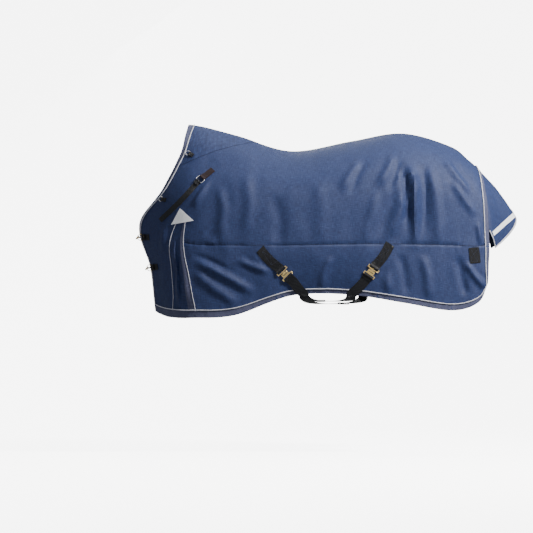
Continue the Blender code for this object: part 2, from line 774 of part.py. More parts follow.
def snap_outline():
    """The hook and shank of a snap. The hook's middle is the origin, and its mouth faces +Y beside the shank."""
    outer = [math.radians(75 + 255 * step / 10) for step in range(11)]
    inner = [math.radians(25 - 310 * step / 12) for step in range(13)]
    points = [(HOOK_OUTER * math.cos(turn), HOOK_OUTER * math.sin(turn)) for turn in outer]
    points += [(SHANK_START, -SHANK_HALF), (SHANK_END, -SHANK_HALF), (SHANK_END, SHANK_HALF),
               (SHANK_START, SHANK_HALF)]
    return points + [(HOOK_INNER * math.cos(turn), HOOK_INNER * math.sin(turn)) for turn in inner]


def gate_outline():
    """The sliding gate that shuts the hook's mouth, with its thumb piece."""
    low, high, thumb = SHANK_HALF + FIT_GAP, SHANK_HALF + 0.0035, SHANK_HALF + 0.0070
    start, knob, end = 0.0034, 0.016, 0.020
    return [(start, low), (end, low), (end, thumb), (knob + 0.001, thumb), (knob, high), (start, high)]


def swivel_outlines(reach):
    """The swivel's frame, with its strap bar at the origin and its collar reaching out along +X."""
    half = CHEST_WEB / 2 + SWIVEL_SIDE_GAP
    head = SLOT_BAR + SWIVEL_SLOT_DEPTH + 0.0035
    rim = [(-SLOT_BAR, -half - 0.004), (head - 0.002, -half - 0.004), (head, -half), (head + 0.003, -COLLAR_HALF),
           (reach, -COLLAR_HALF), (reach, COLLAR_HALF), (head + 0.003, COLLAR_HALF), (head, half),
           (head - 0.002, half + 0.004), (-SLOT_BAR, half + 0.004)]
    return [rim, rounded_box(SLOT_BAR, SLOT_BAR + SWIVEL_SLOT_DEPTH, -half, half, 0.001, 1)]


def facing_frame(origin, ahead, up):
    """A frame whose x looks along ahead and whose z is as near to up as it can be."""
    along = ahead.normalized()
    normal = (up - along * up.dot(along)).normalized()
    place = Matrix((along, normal.cross(along), normal)).transposed().to_4x4()
    place.translation = origin
    return place


def level(u, v):
    """A place at the same height as (0, v), on the rib at u."""
    return u, v - 0.125 * u


def make_chest(name, v):
    """One closure: a ring on the left flap, and a snap on a strap that is sewn to the right flap."""
    far = BINDING_WIDTH + 2 * PIPING_RADIUS + 3 * FIT_GAP + 0.0120 + TAB_REACH
    places = [level(from_rim(LEFT, v, distance), v) for distance in (far + CHEST_TAB_LENGTH, far)]
    bar = tab("chest_ring_patch_" + name, LEFT, *places, CHEST_TAB_WIDTH, 4, TAB_REACH)
    tilted = bar @ Matrix.Rotation(-CHEST_RING_TILT, 4, "Y")
    d_ring("chest_ring_" + name, tilted, *CHEST_RING, "brass")
    caught = tilted @ Vector((CHEST_RING[1], 0, 0))

    strap_start = level(CHEST_STRAP_START, v - CHEST_STRAP_RISE[name])
    strap_bar = tab("chest_strap_" + name, RIGHT, strap_start, level(CHEST_STRAP_END, v),
                    CHEST_WEB, 9, TAB_REACH, bar=SLOT_BAR_ROUND, lift=CHEST_STRAP_LIFT)
    held = strap_bar.translation
    up = bar.col[2].to_3d() + strap_bar.col[2].to_3d()
    snap = facing_frame(caught, held - caught, up) @ Matrix.Rotation(SNAP_TURN, 4, "X")
    cast_plate("chest_snap_" + name, [snap_outline()], SNAP_THICK, snap)
    cast_plate("chest_snap_gate_" + name, [gate_outline()], GATE_THICK, snap)
    swivel = facing_frame(held, caught - held, strap_bar.col[2].to_3d())
    reach = (held - caught).length - SHANK_END - FIT_GAP
    cast_plate("chest_swivel_" + name, swivel_outlines(reach), 2 * SLOT_BAR, swivel)


# ---------------------------------------------------------------- belly surcingles

# Each surcingle: its tab on the left side panel, where it crosses the left and right hems, all in (u, v) or u.
SURCINGLES = {
    "front": {"tab": ((4.45, 4.10), (4.80, 4.92)), "hems": (5.20, 6.25), "drop": 0.006},
    "rear": {"tab": ((6.72, 4.00), (6.42, 4.80)), "hems": (5.98, 5.22), "drop": 0.0},
}
CLIP_HALF = 0.032
CLIP_SLOT_HALF = SURCINGLE_WIDTH / 2 + 0.0015
CLIP_LENGTH = 0.050
TEE_START, TEE_END, TEE_HALF = 0.0226, 0.0272, 0.0130
NECK_HALF = 0.0050
TEE_GAP = 0.0007
STRAP_LIFT = 0.0106
BELLY_SAG = 0.034
TAB_REACH_CLIP = 0.007
FAR_PATCH_WIDTH = 0.058
FAR_PATCH_SPAN = 1.0
FAR_PATCH_STEPS = 3
SLIDE_LENGTH = 0.012
SLIDE_PLACE = 6.45
STRAP_STEPS = 26
STRAP_STRAIGHT = 0.030
# The share of the way from the tab to the hem, measured along the rug, that is left 40 mm above the hem.
HEM_LEAN = 0.2
CLIP_RISE = 0.001


def tee_outlines():
    """The hook plate: a frame for the tab with its bar at the origin, a neck and a cross bar."""
    head = SLOT_BAR + SLOT_DEPTH + 0.0035
    rim = [(-SLOT_BAR, -CLIP_HALF), (head, -CLIP_HALF), (head + 0.002, -NECK_HALF - 0.006),
           (head + 0.004, -NECK_HALF), (TEE_START, -NECK_HALF), (TEE_START, -TEE_HALF), (TEE_END, -TEE_HALF)]
    rim += [(x, -y) for x, y in reversed(rim)]
    return [rim, rounded_box(SLOT_BAR, SLOT_BAR + SLOT_DEPTH, -CLIP_SLOT_HALF, CLIP_SLOT_HALF, 0.001, 1)]


def eye_outlines():
    """The eye plate that the cross bar drops into, with the strap's bar at the origin."""
    near, inner = TEE_START - TEE_GAP - 0.004 - CLIP_LENGTH, TEE_START - TEE_GAP - CLIP_LENGTH
    window, wide = TEE_END + 0.003 - CLIP_LENGTH, TEE_HALF + TEE_GAP
    shoulder = -SLOT_BAR - SLOT_DEPTH - 0.0035
    rim = [(near, NECK_HALF + TEE_GAP), (near, wide + 0.005), (shoulder - 0.002, wide + 0.005),
           (shoulder, CLIP_HALF), (SLOT_BAR, CLIP_HALF)]
    rim += [(x, -y) for x, y in reversed(rim)]
    rim += [(inner, -NECK_HALF - TEE_GAP), (inner, -wide), (window, -wide), (window, wide), (inner, wide),
            (inner, NECK_HALF + TEE_GAP)]
    slot = rounded_box(-SLOT_BAR - SLOT_DEPTH, -SLOT_BAR, -CLIP_SLOT_HALF, CLIP_SLOT_HALF, 0.001, 1)
    return [rim, slot]


def surcingle_keys(start, lean, hems, drop):
    """The strap's course as (point, outward direction) pairs: clip, left hem, under the belly, right side."""
    straight = start @ Vector((-STRAP_STRAIGHT, 0, 0))
    keys = [(start.translation, start.col[2].to_3d()), (straight, start.col[2].to_3d())]
    left = [(on_rug(LEFT, u, v, STRAP_LIFT), facing(LEFT, u, v))
            for u, v in ((hems[0] - lean, 5.80), (hems[0], LAST_POINT))]
    right = [(on_rug(RIGHT, hems[1], v, lift), facing(RIGHT, hems[1], v))
             for v, lift in ((LAST_POINT, STRAP_LIFT), (5.80, STRAP_LIFT), (5.45, 0.0035))]
    a, b = left[-1][0], right[0][0]
    belly = []
    for share, fall, lean in ((0.012, 0.020, -0.8), (0.16, 0.030, -0.12), (0.5, BELLY_SAG, 0.0),
                              (0.84, 0.030, 0.12), (0.988, 0.020, 0.8)):
        extra = drop if 0.1 < share < 0.9 else 0.0
        point = mix(a, b, share)
        point.z = min(a.z, b.z) - fall - extra if 0.1 < share < 0.9 else point.z - fall
        belly.append((point, Vector((0, lean, -1)).normalized()))
    return keys + left + belly + right


def course(keys, place):
    """A point, its direction and its outward normal along the keys, with place counted in keys."""
    index = min(int(place), len(keys) - 2)
    picks = [keys[min(max(index + k, 0), len(keys) - 1)] for k in (-1, 0, 1, 2)]
    share = place - index
    point = curve_through(*[pick[0] for pick in picks], share)
    ahead = curve_through(*[pick[0] for pick in picks], share + 0.02)
    normal = mix(picks[1][1], picks[2][1], share).normalized()
    return point, (ahead - point).normalized(), normal


def make_surcingle(name, tab_line, hems, drop):
    bar = tab(f"{name}_surcingle_tab", LEFT, *tab_line, SURCINGLE_WIDTH, 6, TAB_REACH_CLIP, bar=SLOT_BAR_ROUND)
    along, normal = bar.col[0].to_3d(), bar.col[2].to_3d()
    height = WEB_OUT + loop_radius(SLOT_BAR_ROUND) + CLIP_RISE
    aim = laid(LEFT, bar.translation + along * CLIP_LENGTH, normal, height)
    clip = bar @ Matrix.Rotation(-math.asin((aim - bar.translation).normalized().dot(normal)), 4, "Y")
    cast_plate(f"{name}_hook_plate", tee_outlines(), 2 * SLOT_BAR, clip)
    strap_bar = clip @ Matrix.Translation((CLIP_LENGTH, 0, 0))
    cast_plate(f"{name}_eye_plate", eye_outlines(), 2 * SLOT_BAR, strap_bar)

    low = strap_bar @ Matrix.Rotation(math.pi, 4, "Z")
    start = low @ Matrix.Translation((-TAB_REACH_CLIP, 0, -loop_radius(SLOT_BAR_ROUND)))
    keys = surcingle_keys(start, (hems[0] - tab_line[1][0]) * HEM_LEAN, hems, drop)
    lines = []
    for step in range(STRAP_STEPS + 1):
        point, ahead, normal = course(keys, (len(keys) - 1) * (1 - step / STRAP_STEPS))
        across = normal.cross(-ahead).normalized() * SURCINGLE_WIDTH
        lines.append([point + across * part for part in ACROSS])
    loop = loop_lines(start, SURCINGLE_WIDTH, TAB_REACH_CLIP, SLOT_BAR_ROUND)
    strip(f"{name}_surcingle_strap", lines[:-1] + loop, WEB_THICK, 0, "webbing", start.col[2].to_3d())

    patch = []
    for step in range(FAR_PATCH_STEPS + 1):
        point, ahead, normal = course(keys, len(keys) - 1 - FAR_PATCH_SPAN * step / FAR_PATCH_STEPS)
        across = normal.cross(-ahead).normalized() * FAR_PATCH_WIDTH
        patch.append([point + normal * (WEB_THICK + FIT_GAP) + across * part for part in ACROSS])
    strip(f"{name}_far_patch", patch, WEB_THICK * 0.8, 0, "webbing", normal)

    point, ahead, normal = course(keys, SLIDE_PLACE)
    across = ahead.cross(normal)
    ring = Matrix((across, normal, across.cross(normal))).transposed().to_4x4()
    ring.translation = point
    half = SURCINGLE_WIDTH / 2
    cast_plate(f"{name}_strap_slide", [rounded_box(-half - 0.0045, half + 0.0045, -0.0050, 0.0050, 0.002),
                                       rounded_box(-half - 0.0012, half + 0.0012, -0.0025, 0.0025, 0.0005, 1)],
               SLIDE_LENGTH, ring, "nickel")


# ---------------------------------------------------------------- leg strap anchors

ANCHOR_SIZE = (0.080, 0.055)
ANCHOR_THICK = 0.002
ANCHOR_LINE = ((8.80, 4.10), (8.84, 4.42))


def make_leg_anchor(side, word):
    place = seat(side, *ANCHOR_LINE, 0.5, ANCHOR_THICK / 2 + FIT_GAP)
    half, wide = ANCHOR_SIZE[0] / 2, ANCHOR_SIZE[1] / 2
    cast_plate("leg_strap_anchor_" + word, [rounded_box(-half, half, -wide, wide, 0.004)], ANCHOR_THICK, place,
               "webbing")


def part_main():
    clear_scene()
    make_cloth()
    make_edges()
    make_tail()
    for side, word in ((LEFT, "left"), (RIGHT, "right")):
        make_gusset_trim(side, word)
        make_neck_rings(side, word)
        make_shoulder(side, word)
        make_leg_anchor(side, word)
    for name, v in CHEST_V.items():
        make_chest(name, v)
    for name, facts in SURCINGLES.items():
        make_surcingle(name, facts["tab"], facts["hems"], facts["drop"])


part_main()
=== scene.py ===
"""The finished look of a turnout rug for a horse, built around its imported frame.

The rug hangs as it does on the horse: +X runs to the tail, +Z is up, and the horse's left side is at -Y.
Everything is in metres.
"""

import math

import bmesh
import bpy
from mathutils import Matrix, Vector, noise


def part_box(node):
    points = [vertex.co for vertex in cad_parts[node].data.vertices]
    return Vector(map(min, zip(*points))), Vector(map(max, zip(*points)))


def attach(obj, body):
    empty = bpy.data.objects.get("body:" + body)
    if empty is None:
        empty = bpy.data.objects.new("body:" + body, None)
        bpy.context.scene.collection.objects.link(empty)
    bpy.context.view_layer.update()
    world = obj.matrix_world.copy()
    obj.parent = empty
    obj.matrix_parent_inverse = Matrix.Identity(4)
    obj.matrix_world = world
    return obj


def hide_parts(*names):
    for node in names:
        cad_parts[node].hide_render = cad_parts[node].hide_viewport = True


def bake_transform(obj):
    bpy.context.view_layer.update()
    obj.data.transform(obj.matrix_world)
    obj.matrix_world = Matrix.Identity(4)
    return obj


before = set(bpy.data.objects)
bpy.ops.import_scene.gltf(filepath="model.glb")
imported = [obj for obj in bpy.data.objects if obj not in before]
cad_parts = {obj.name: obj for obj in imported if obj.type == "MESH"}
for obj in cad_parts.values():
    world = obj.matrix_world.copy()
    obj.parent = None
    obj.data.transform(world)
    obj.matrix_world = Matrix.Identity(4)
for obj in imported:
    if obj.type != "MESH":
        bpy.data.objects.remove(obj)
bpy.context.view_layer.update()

# ------------------------------------------------------------------------------------------------ view
# A level camera well back from the rug's left side, soft light from a large panel high at the tail end,
# and a pale studio sweep under and behind the rug.

FRAME_WIDTH = 2.665
VIEW_CENTRE = Vector((-0.2275, -0.30, -0.5725))
LENS = 300.0
SENSOR = 36.0
GROUND = -1.52

camera_data = bpy.data.cameras.new("studio_camera")
camera_data.lens = LENS
camera_data.sensor_width = SENSOR
camera_data.clip_end = 100.0
camera = bpy.data.objects.new("studio_camera", camera_data)
bpy.context.scene.collection.objects.link(camera)
camera.location = VIEW_CENTRE + Vector((0, -FRAME_WIDTH * LENS / SENSOR, 0))
camera.rotation_euler = (math.radians(90), 0, 0)
bpy.context.scene.camera = camera


def panel_light(name, place, aim, size, power, colour):
    lamp = bpy.data.lights.new(name, "AREA")
    lamp.shape = "RECTANGLE"
    lamp.size, lamp.size_y = size
    lamp.energy = power
    lamp.color = colour
    panel = bpy.data.objects.new(name, lamp)
    bpy.context.scene.collection.objects.link(panel)
    panel.location = place
    panel.rotation_euler = (Vector(aim) - Vector(place)).to_track_quat("-Z", "Y").to_euler()


panel_light("key_panel", (3.6, -3.0, 3.0), (0.15, -0.2, -0.3), (0.9, 0.9), 720, (1.0, 0.98, 0.95))
panel_light("fill_panel", (-3.0, -6.0, 0.6), (-0.2, -0.3, -0.4), (4.0, 3.0), 40, (0.93, 0.96, 1.0))
panel_light("far_panel", (-2.0, 5.5, 2.2), (0, 0.3, -0.4), (3.0, 3.0), 170, (0.95, 0.97, 1.0))
panel_light("top_panel", (0.2, 0.6, 3.6), (0.1, 0, 0), (3.5, 2.5), 90, (1.0, 1.0, 1.0))

world = bpy.data.worlds.new("studio")
world.use_nodes = True
world.node_tree.nodes["Background"].inputs["Color"].default_value = (0.93, 0.95, 1.0, 1)
world.node_tree.nodes["Background"].inputs["Strength"].default_value = 0.30
bpy.context.scene.world = world

SWEEP_BACK = 6.0
SWEEP_ROUND = 2.5


def deselect():
    for other in list(bpy.context.selected_objects):
        other.select_set(False)


def new_finish(name, settings):
    """A material with its main shader set, as the material, its nodes, its links and the shader."""
    finish = bpy.data.materials.new(name)
    finish.use_nodes = True
    nodes, links = finish.node_tree.nodes, finish.node_tree.links
    shader = nodes["Principled BSDF"]
    for key, value in settings.items():
        shader.inputs[key].default_value = value
    return finish, nodes, links, shader


def studio_sweep():
    """A floor that curves up into a wall behind the rug, and that is clear from its back."""
    deselect()
    bpy.ops.mesh.primitive_grid_add(x_subdivisions=1, y_subdivisions=40, size=1)
    sweep = bpy.context.object
    sweep.name = "studio_sweep"
    for vertex in sweep.data.vertices:
        along = (vertex.co.y + 0.5) * (2 * SWEEP_BACK + SWEEP_ROUND * math.pi / 2 + 4.0)
        flat = 2 * SWEEP_BACK
        turn = min(max(along - flat, 0) / SWEEP_ROUND, math.pi / 2)
        rise = max(along - flat - SWEEP_ROUND * math.pi / 2, 0)
        y = min(along, flat) - SWEEP_BACK - 2 + SWEEP_ROUND * math.sin(turn)
        vertex.co = (vertex.co.x * 24, y, GROUND + SWEEP_ROUND * (1 - math.cos(turn)) + rise)
    sweep.data.shade_smooth()
    paper, nodes, links, shader = new_finish("studio_paper", {
        "Base Color": (0.86, 0.86, 0.86, 1), "Roughness": 0.9,
        "Emission Color": (1, 1, 1, 1), "Emission Strength": 6.0})
    clear, one_sided = nodes.new("ShaderNodeBsdfTransparent"), nodes.new("ShaderNodeMixShader")
    links.new(nodes.new("ShaderNodeNewGeometry").outputs["Backfacing"], one_sided.inputs["Fac"])
    links.new(shader.outputs["BSDF"], one_sided.inputs[1])
    links.new(clear.outputs["BSDF"], one_sided.inputs[2])
    links.new(one_sided.outputs["Shader"], nodes["Material Output"].inputs["Surface"])
    sweep.data.materials.append(paper)
    sweep.visible_diffuse = False
    sweep.visible_glossy = False


studio_sweep()

# ----------------------------------------------------------------------------------- the cloth's shape
# The rug is cut from flat panels and takes its shape from the horse. Its outer face follows eleven ribs
# of the horse's outline, each with seven points from the spine to the hem, in hundredths of a metre.

RIBS = (
    ((-62, 0, 14.6), (-63.6, 7.5, 8.8), (-66.5, 12, -1.5), (-75, 13.5, -18),
     (-86.6, 0, -36.5), (-81.1, 0, -57), (-78.6, 0, -79)),
    ((-60, 0, 14.4), (-61.2, 8.5, 7.4), (-63.5, 14.5, -3), (-71, 18, -19),
     (-82.5, 9, -39), (-77.9, 9.5, -59), (-75, 10, -81.8)),
    ((-56, 0, 13.8), (-57.5, 10, 6.6), (-59.5, 17.5, -5), (-64.5, 22.5, -20),
     (-73, 19, -42), (-70.5, 19, -61), (-69, 19.5, -82.8)),
    ((-50, 0, 12.4), (-51, 11, 5.8), (-52, 19.5, -6), (-54.5, 26.2, -21),
     (-59.5, 26.8, -46), (-60, 27, -63), (-60, 26.5, -82.8)),
    ((-36, 0, 8.6), (-36, 12, 3.4), (-36, 21.5, -6), (-36.5, 28.8, -20),
     (-38, 31.5, -46.5), (-38.5, 31.5, -63), (-38.5, 30.8, -81.4)),
    ((-10, 0, 1.2), (-10, 13, -1.6), (-10, 23.5, -9), (-10, 31, -21),
     (-10, 34, -46.5), (-10, 33.2, -59), (-10, 30.5, -71.6)),
    ((20, 0, 6.2), (20, 13, 3.5), (20, 23.5, -4), (20, 31, -18),
     (20, 33.8, -46), (20, 33.2, -59), (20, 30.8, -71.3)),
    ((46, 0, 10.2), (46, 13, 7.2), (46, 22.5, -1), (46, 29, -16),
     (46, 31.2, -46), (46, 31.5, -61), (46, 31.5, -75.2)),
    ((70, 0, 3.8), (70, 12, 0.8), (70, 20.5, -7), (70, 26.2, -20),
     (70, 28.5, -46.5), (70, 29, -63), (70, 29, -79)),
    ((79.5, 0, -3.3), (80, 11, -5), (80.8, 18.5, -12), (82, 23.8, -24),
     (83, 26.2, -47), (83.5, 27, -62), (83.5, 27.2, -75)),
    ((84.8, 0, -8), (85.6, 9.5, -10), (86.8, 16, -16), (88, 21.2, -26),
     (88.8, 23.8, -46), (88.6, 24.8, -57.5), (88.3, 25.2, -65.5)),
)
LEFT, RIGHT = -1, 1
LAST_RIB, HEM_V, SEAM_V, GUSSET_V = 10, 6, 4.0, 3.6
FLAP_SETBACK, UNDERLAP = 0.30, 0.90
FLAP_RAISE, UNDERLAP_SINK = 0.0095, 0.0140


def ease(share):
    share = min(1.0, max(0.0, share))
    return share * share * (3 - 2 * share)


def mix(a, b, share):
    return a + (b - a) * share


def net_of_ribs():
    """The ribs with one more rib and point all round, so that the curve through them has its ends."""
    net = []
    for rib in RIBS:
        points = [Vector(point) / 100 for point in rib]
        net.append([Vector((points[1].x, -points[1].y, points[1].z)), *points, 2 * points[-1] - points[-2]])
    before = [2 * a - b for a, b in zip(net[0], net[1])]
    before[5:] = [Vector((point.x, -point.y, point.z)) for point in net[1][5:]]
    after = [2 * a - b for a, b in zip(net[-1], net[-2])]
    return [before, *net, after]


NET = net_of_ribs()


def curve_through(a, b, c, d, share):
    return 0.5 * (2 * b + (c - a) * share + (2 * a - 5 * b + 4 * c - d) * share**2
                  + (3 * b - a - 3 * c + d) * share**3)


def skin(u, v):
    """A point of the horse-shaped outer face on the +Y side, u ribs from the front and v points down."""
    i = min(max(int(math.floor(u)), 0), LAST_RIB - 1)
    j = min(max(int(math.floor(v)), 0), HEM_V - 1)
    rows = [curve_through(*[NET[i + k][j + m] for m in range(4)], v - j) for k in range(4)]
    return curve_through(*rows, u - i)


def outward(u, v, step=0.02):
    along = skin(u + step, v) - skin(u - step, v)
    down = skin(u, v + step) - skin(u, v - step)
    return along.cross(down).normalized()


def front_edge(side, v):
    if side == LEFT:
        return FLAP_SETBACK * ease((v - 3.4) / 0.8)
    return -UNDERLAP * min(1.0, max(0.0, (v - SEAM_V) / 0.65))


def gusset_front(v):
    return mix(2.25, 1.9, (max(v, GUSSET_V) - GUSSET_V) / (HEM_V - GUSSET_V))


def gusset_rear(v):
    return mix(2.6, 3.15, (max(v, GUSSET_V) - GUSSET_V) / (HEM_V - GUSSET_V))


# ------------------------------------------------------------------------------- folds and puckers
# Cloth that is cut for a standing horse goes slack in places: soft drags run from the hip to the flank,
# round the shoulder and from the chest to the hem, and the sewn seams and the hem pull small puckers.
# Each fold is a line in side view, as (x, z) in hundredths of a metre, with its width and height.

FOLDS = (
    (((49.3, -4), (51.5, -18), (51.9, -34), (51.9, -50)), 3.0, 2.2),
    (((45.8, -5), (47.6, -20), (48.0, -40)), 2.6, -1.5),
    (((56.0, -5), (57.0, -20), (56.6, -44)), 2.8, -1.2),
    (((41.5, 0), (38, -9), (34, -17)), 2.8, 1.25),
    (((44.5, -3), (42, -11), (39, -20)), 2.2, -0.8),
    (((23.5, -4), (18, -12), (13.5, -20)), 3.0, 1.1),
    (((28, -2), (22, -12), (18.5, -22)), 2.6, -0.6),
    (((47.6, -21), (42.5, -34), (36.5, -46)), 3.0, 1.5),
    (((43.5, -18), (38, -31), (33, -42)), 2.6, -0.8),
    (((34, -18), (30, -32), (25, -45)), 3.6, 1.0),
    (((58, -4), (61.5, -20), (63, -36), (62, -48)), 3.4, 1.2),
    (((66, -3), (72.5, -12), (80, -21)), 2.6, 1.1),
    (((69, -13), (76.5, -24), (83, -32)), 2.6, 1.1),
    (((83.0, -35.0), (84.5, -46)), 1.8, 1.1),
    (((77.0, -54.5), (81, -62), (87, -69.5)), 2.4, 1.5),
    (((73, -51), (75, -63), (77, -73)), 2.8, -1.1),
    (((-59, -54), (-45, -62), (-27, -71)), 3.0, 1.5),
    (((-60, -51), (-51, -55), (-42, -60)), 2.2, -0.7),
    (((-60, -59), (-50, -68.5), (-37, -77)), 3.2, 1.2),
    (((-38.5, -54), (-28, -57.5), (-16, -61)), 2.4, 1.1),
    (((-57, -42.5), (-52, -45), (-48, -46)), 2.0, 0.5),
    (((-52.2, -12.5), (-56, -20), (-60.5, -29)), 2.4, 1.2),
    (((-47, -16), (-45, -30), (-47, -45)), 3.6, 0.9),
    (((-33, -10), (-31, -26), (-33, -43)), 4.2, 0.7),
    (((-20, -18), (-15, -34), (-17, -48)), 4.0, -0.7),
    (((2, -12), (5, -30), (2, -46)), 4.6, 0.6),
    (((10, -51), (6, -60), (4, -70)), 2.8, 1.0),
    (((32, -51), (36, -61), (38, -72)), 3.0, 1.1),
    (((44, -50), (46, -61), (47, -73)), 3.0, -0.9),
    (((55, -50), (58, -62), (59, -75)), 3.2, 1.2),
    (((-70, -24), (-74.5, -36), (-75, -52)), 2.4, 0.9),
    (((-66, -50), (-68.5, -64), (-70, -79)), 1.8, -0.6),
)
FOLD_SHIFT, FOLD_TAPER = 0.035, 0.25
FOLD_SOFTNESS, FOLD_REACH, FOLD_FALL, FOLD_TROUGH = 1.25, 1.6, 2.2, 1.5
DRIFT, DRIFT_PITCH = 0.018, (3.1, 2.0, 2.3)
SOFT_WAVE, SOFT_WAVE_PITCH = 0.0064, (8.5, 5.0, 2.4)
FINE_WAVE, FINE_WAVE_PITCH = 0.0026, (17, 3.0, 9)
SEAM_PUCKER, HEM_PUCKER, REAR_PUCKER = (0.0034, 0.16, 46), (0.0036, 0.22, 38), (0.0024, 0.28, 40)
SEAM_DIP, SEAM_DIP_REACH = 0.0042, 0.030
CALM_FROM, CALM_OVER = 0.8, 1.2
LEFT_RIGHT, UPPER_LOWER, FRONT_REAR = ("left", "right"), ("upper", "lower"), ("front", "rear")
CALM_PLACES = (
    ("shoulder_strap_{}", LEFT_RIGHT, 0.03), ("shoulder_label_{}", LEFT_RIGHT, 0.02),
    ("neck_ring_tab_lower_{}", LEFT_RIGHT, 0.03), ("neck_ring_tab_upper_{}", LEFT_RIGHT, 0.03),
    ("chest_ring_patch_{}", UPPER_LOWER, 0.04), ("{}_surcingle_tab", FRONT_REAR, 0.03),
    ("{}_eye_plate", FRONT_REAR, 0.05), ("leg_strap_anchor_{}", LEFT_RIGHT, 0.03),
    ("chest_strap_{}", UPPER_LOWER, 0.03),
)


def line_distance(point, line):
    """How far a side-view point lies from a line, and how far along the line that is, from 0 to 1."""
    best, where = 1e9, 0.0
    for index, (a, b) in enumerate(zip(line, line[1:])):
        run = b - a
        share = min(1.0, max(0.0, (point - a).dot(run) / run.length_squared))
        gap = (point - a - run * share).length
        if gap < best:
            best, where = gap, (index + share) / (len(line) - 1)
    return best, where


FOLD_LINES = [([Vector(point) / 100 for point in line], FOLD_SOFTNESS * width / 100, height / 100)
              for line, width, height in FOLDS]


def calm_line(name):
    """The side-view line down the middle of a piece of webbing, which holds the cloth flat."""
    low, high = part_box(name)
    a, b = Vector((low[0], low[2])), Vector((high[0], high[2]))
    if name in ("front_surcingle_tab", "leg_strap_anchor_left", "leg_strap_anchor_right", "front_eye_plate"):
        a, b = Vector((low[0], high[2])), Vector((high[0], low[2]))
    return [a, b]


CALM_NAMES = [(name.format(end), reach) for name, ends, reach in CALM_PLACES for end in ends]
CALM_LINES = [(calm_line(name), reach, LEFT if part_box(name)[0][1] < -0.01 else RIGHT)
              for name, reach in CALM_NAMES]


def wave(point, side, pitch):
    return noise.noise(Vector((point.x * pitch[0], side * pitch[1], point.z * pitch[2])))


def pucker(kind, off, along, side, seed):
    """The small puckers of a sewn line, from their height, their reach off it and their pitch along it."""
    height, reach, pitch = kind
    return height * math.exp(-(off / reach) ** 2) * noise.noise(Vector((along * pitch, side, seed)))


def slack(side, u, v, point):
    """How far the cloth stands off the horse's outline at a place: its folds, puckers and soft waves."""
    if u < 0.02 and v > 3.4:
        return 0.0
    flat = Vector((point.x, point.z))
    drift = wave(point, side, DRIFT_PITCH) * DRIFT
    if side == RIGHT:
        flat.x += FOLD_SHIFT
    lift = 0.0
    for line, width, height in FOLD_LINES:
        gap, where = line_distance(flat + Vector((drift, drift * 0.6)), line)
        if gap < width * FOLD_REACH:
            taper = ease(where / FOLD_TAPER) * ease((1 - where) / FOLD_TAPER)
            near = gap / width
            lift += height * taper * (1 - FOLD_TROUGH * near * near) * math.exp(-FOLD_FALL * near * near)
    down = ease((v - 2.2) / 1.6)
    lift += SOFT_WAVE * down * wave(point, side, SOFT_WAVE_PITCH)
    lift += FINE_WAVE * wave(point, side, FINE_WAVE_PITCH)
    behind_gusset = u > gusset_rear(v)
    if behind_gusset:
        lift += pucker(SEAM_PUCKER, v - SEAM_V, point.x, side, 0.0)
    lift += pucker(HEM_PUCKER, HEM_V - v, point.x, side, 4.0)
    lift += pucker(REAR_PUCKER, LAST_RIB - u, point.z, side, 9.0)
    if behind_gusset:
        lift -= SEAM_DIP * math.exp(-((v - SEAM_V) / SEAM_DIP_REACH) ** 2)
    spine = ease(v / 0.8)
    calm = 1.0
    for line, reach, on_side in CALM_LINES:
        if on_side == side:
            gap = line_distance(Vector((point.x, point.z)), line)[0]
            calm *= ease((gap - reach * CALM_FROM) / (reach * CALM_OVER))
    chest = ease((u - 0.15) / 0.5) if v > 3.2 else 1.0
    return lift * spine * calm * chest


def on_rug(side, u, v, out=0.0):
    """The point at (u, v) on one side of the rug, standing out from its face.

    A negative u lies past the middle of the chest, on the other side.
    """
    chest = ease((v - 3.3) / 0.6) * ease((1.2 - u) / (1.2 + FLAP_SETBACK * side))
    out += chest * (FLAP_RAISE if side == LEFT else -UNDERLAP_SINK)
    if u < 0:
        side, u = -side, -u
    point, away = skin(u, v), outward(u, v)
    out += slack(side, u, v, point)
    point = point + away * out
    return Vector((point.x, point.y * side, point.z))


def per_metre_along(u, v, step):
    return abs(step) / (skin(u + step, v) - skin(u, v)).length


# ------------------------------------------------------------------------------------- shell cloth
# The outer shell is a tough woven polyester with a heathered navy yarn. It is cut in panels that meet at
# flat seams: the main panel over the back, a withers panel at the neck, a side panel below the seam on
# each side, and a pleated gusset at each shoulder. The columns and rows below put grid lines on the seams.

SHELL_THICK, FILL_THICK, LINING_THICK, LAYER_GAP = 0.0016, 0.0060, 0.0012, 0.0007
STACK = SHELL_THICK + FILL_THICK + LINING_THICK + 2 * LAYER_GAP
FRONT_CELLS, GUSSET_CELLS, REAR_CELLS = 36, 18, 150
WITHERS_CELLS, CROWN_CELLS, YOKE_CELLS, SIDE_CELLS = 14, 56, 6, 40
GUSSET_COLUMN = FRONT_CELLS
REAR_COLUMN = FRONT_CELLS + GUSSET_CELLS
COLUMNS = REAR_COLUMN + REAR_CELLS
GUSSET_ROW = WITHERS_CELLS + CROWN_CELLS
SEAM_ROW = GUSSET_ROW + YOKE_CELLS
ROWS = SEAM_ROW + SIDE_CELLS
WITHERS_SEAM = ((-72, -9.5), (-60.8, -4), (-55, -1.6), (-48.3, 1), (-41.2, 3), (-33, 5), (-22, 6.4))
WITHERS_TIP = 0.14
PLEAT_DEPTH, PLEAT_COUNT, PLEAT_START, PLEAT_LIFT = 0.0066, 2.0, 0.15, 2.6
PLEAT_FRONT_EASE, PLEAT_REAR_EASE = 0.12, 0.28
PLEAT_HEM_ROWS, PLEAT_FADE_ROWS = 3, 6
SIDES = ((LEFT, "left"), (RIGHT, "right"))


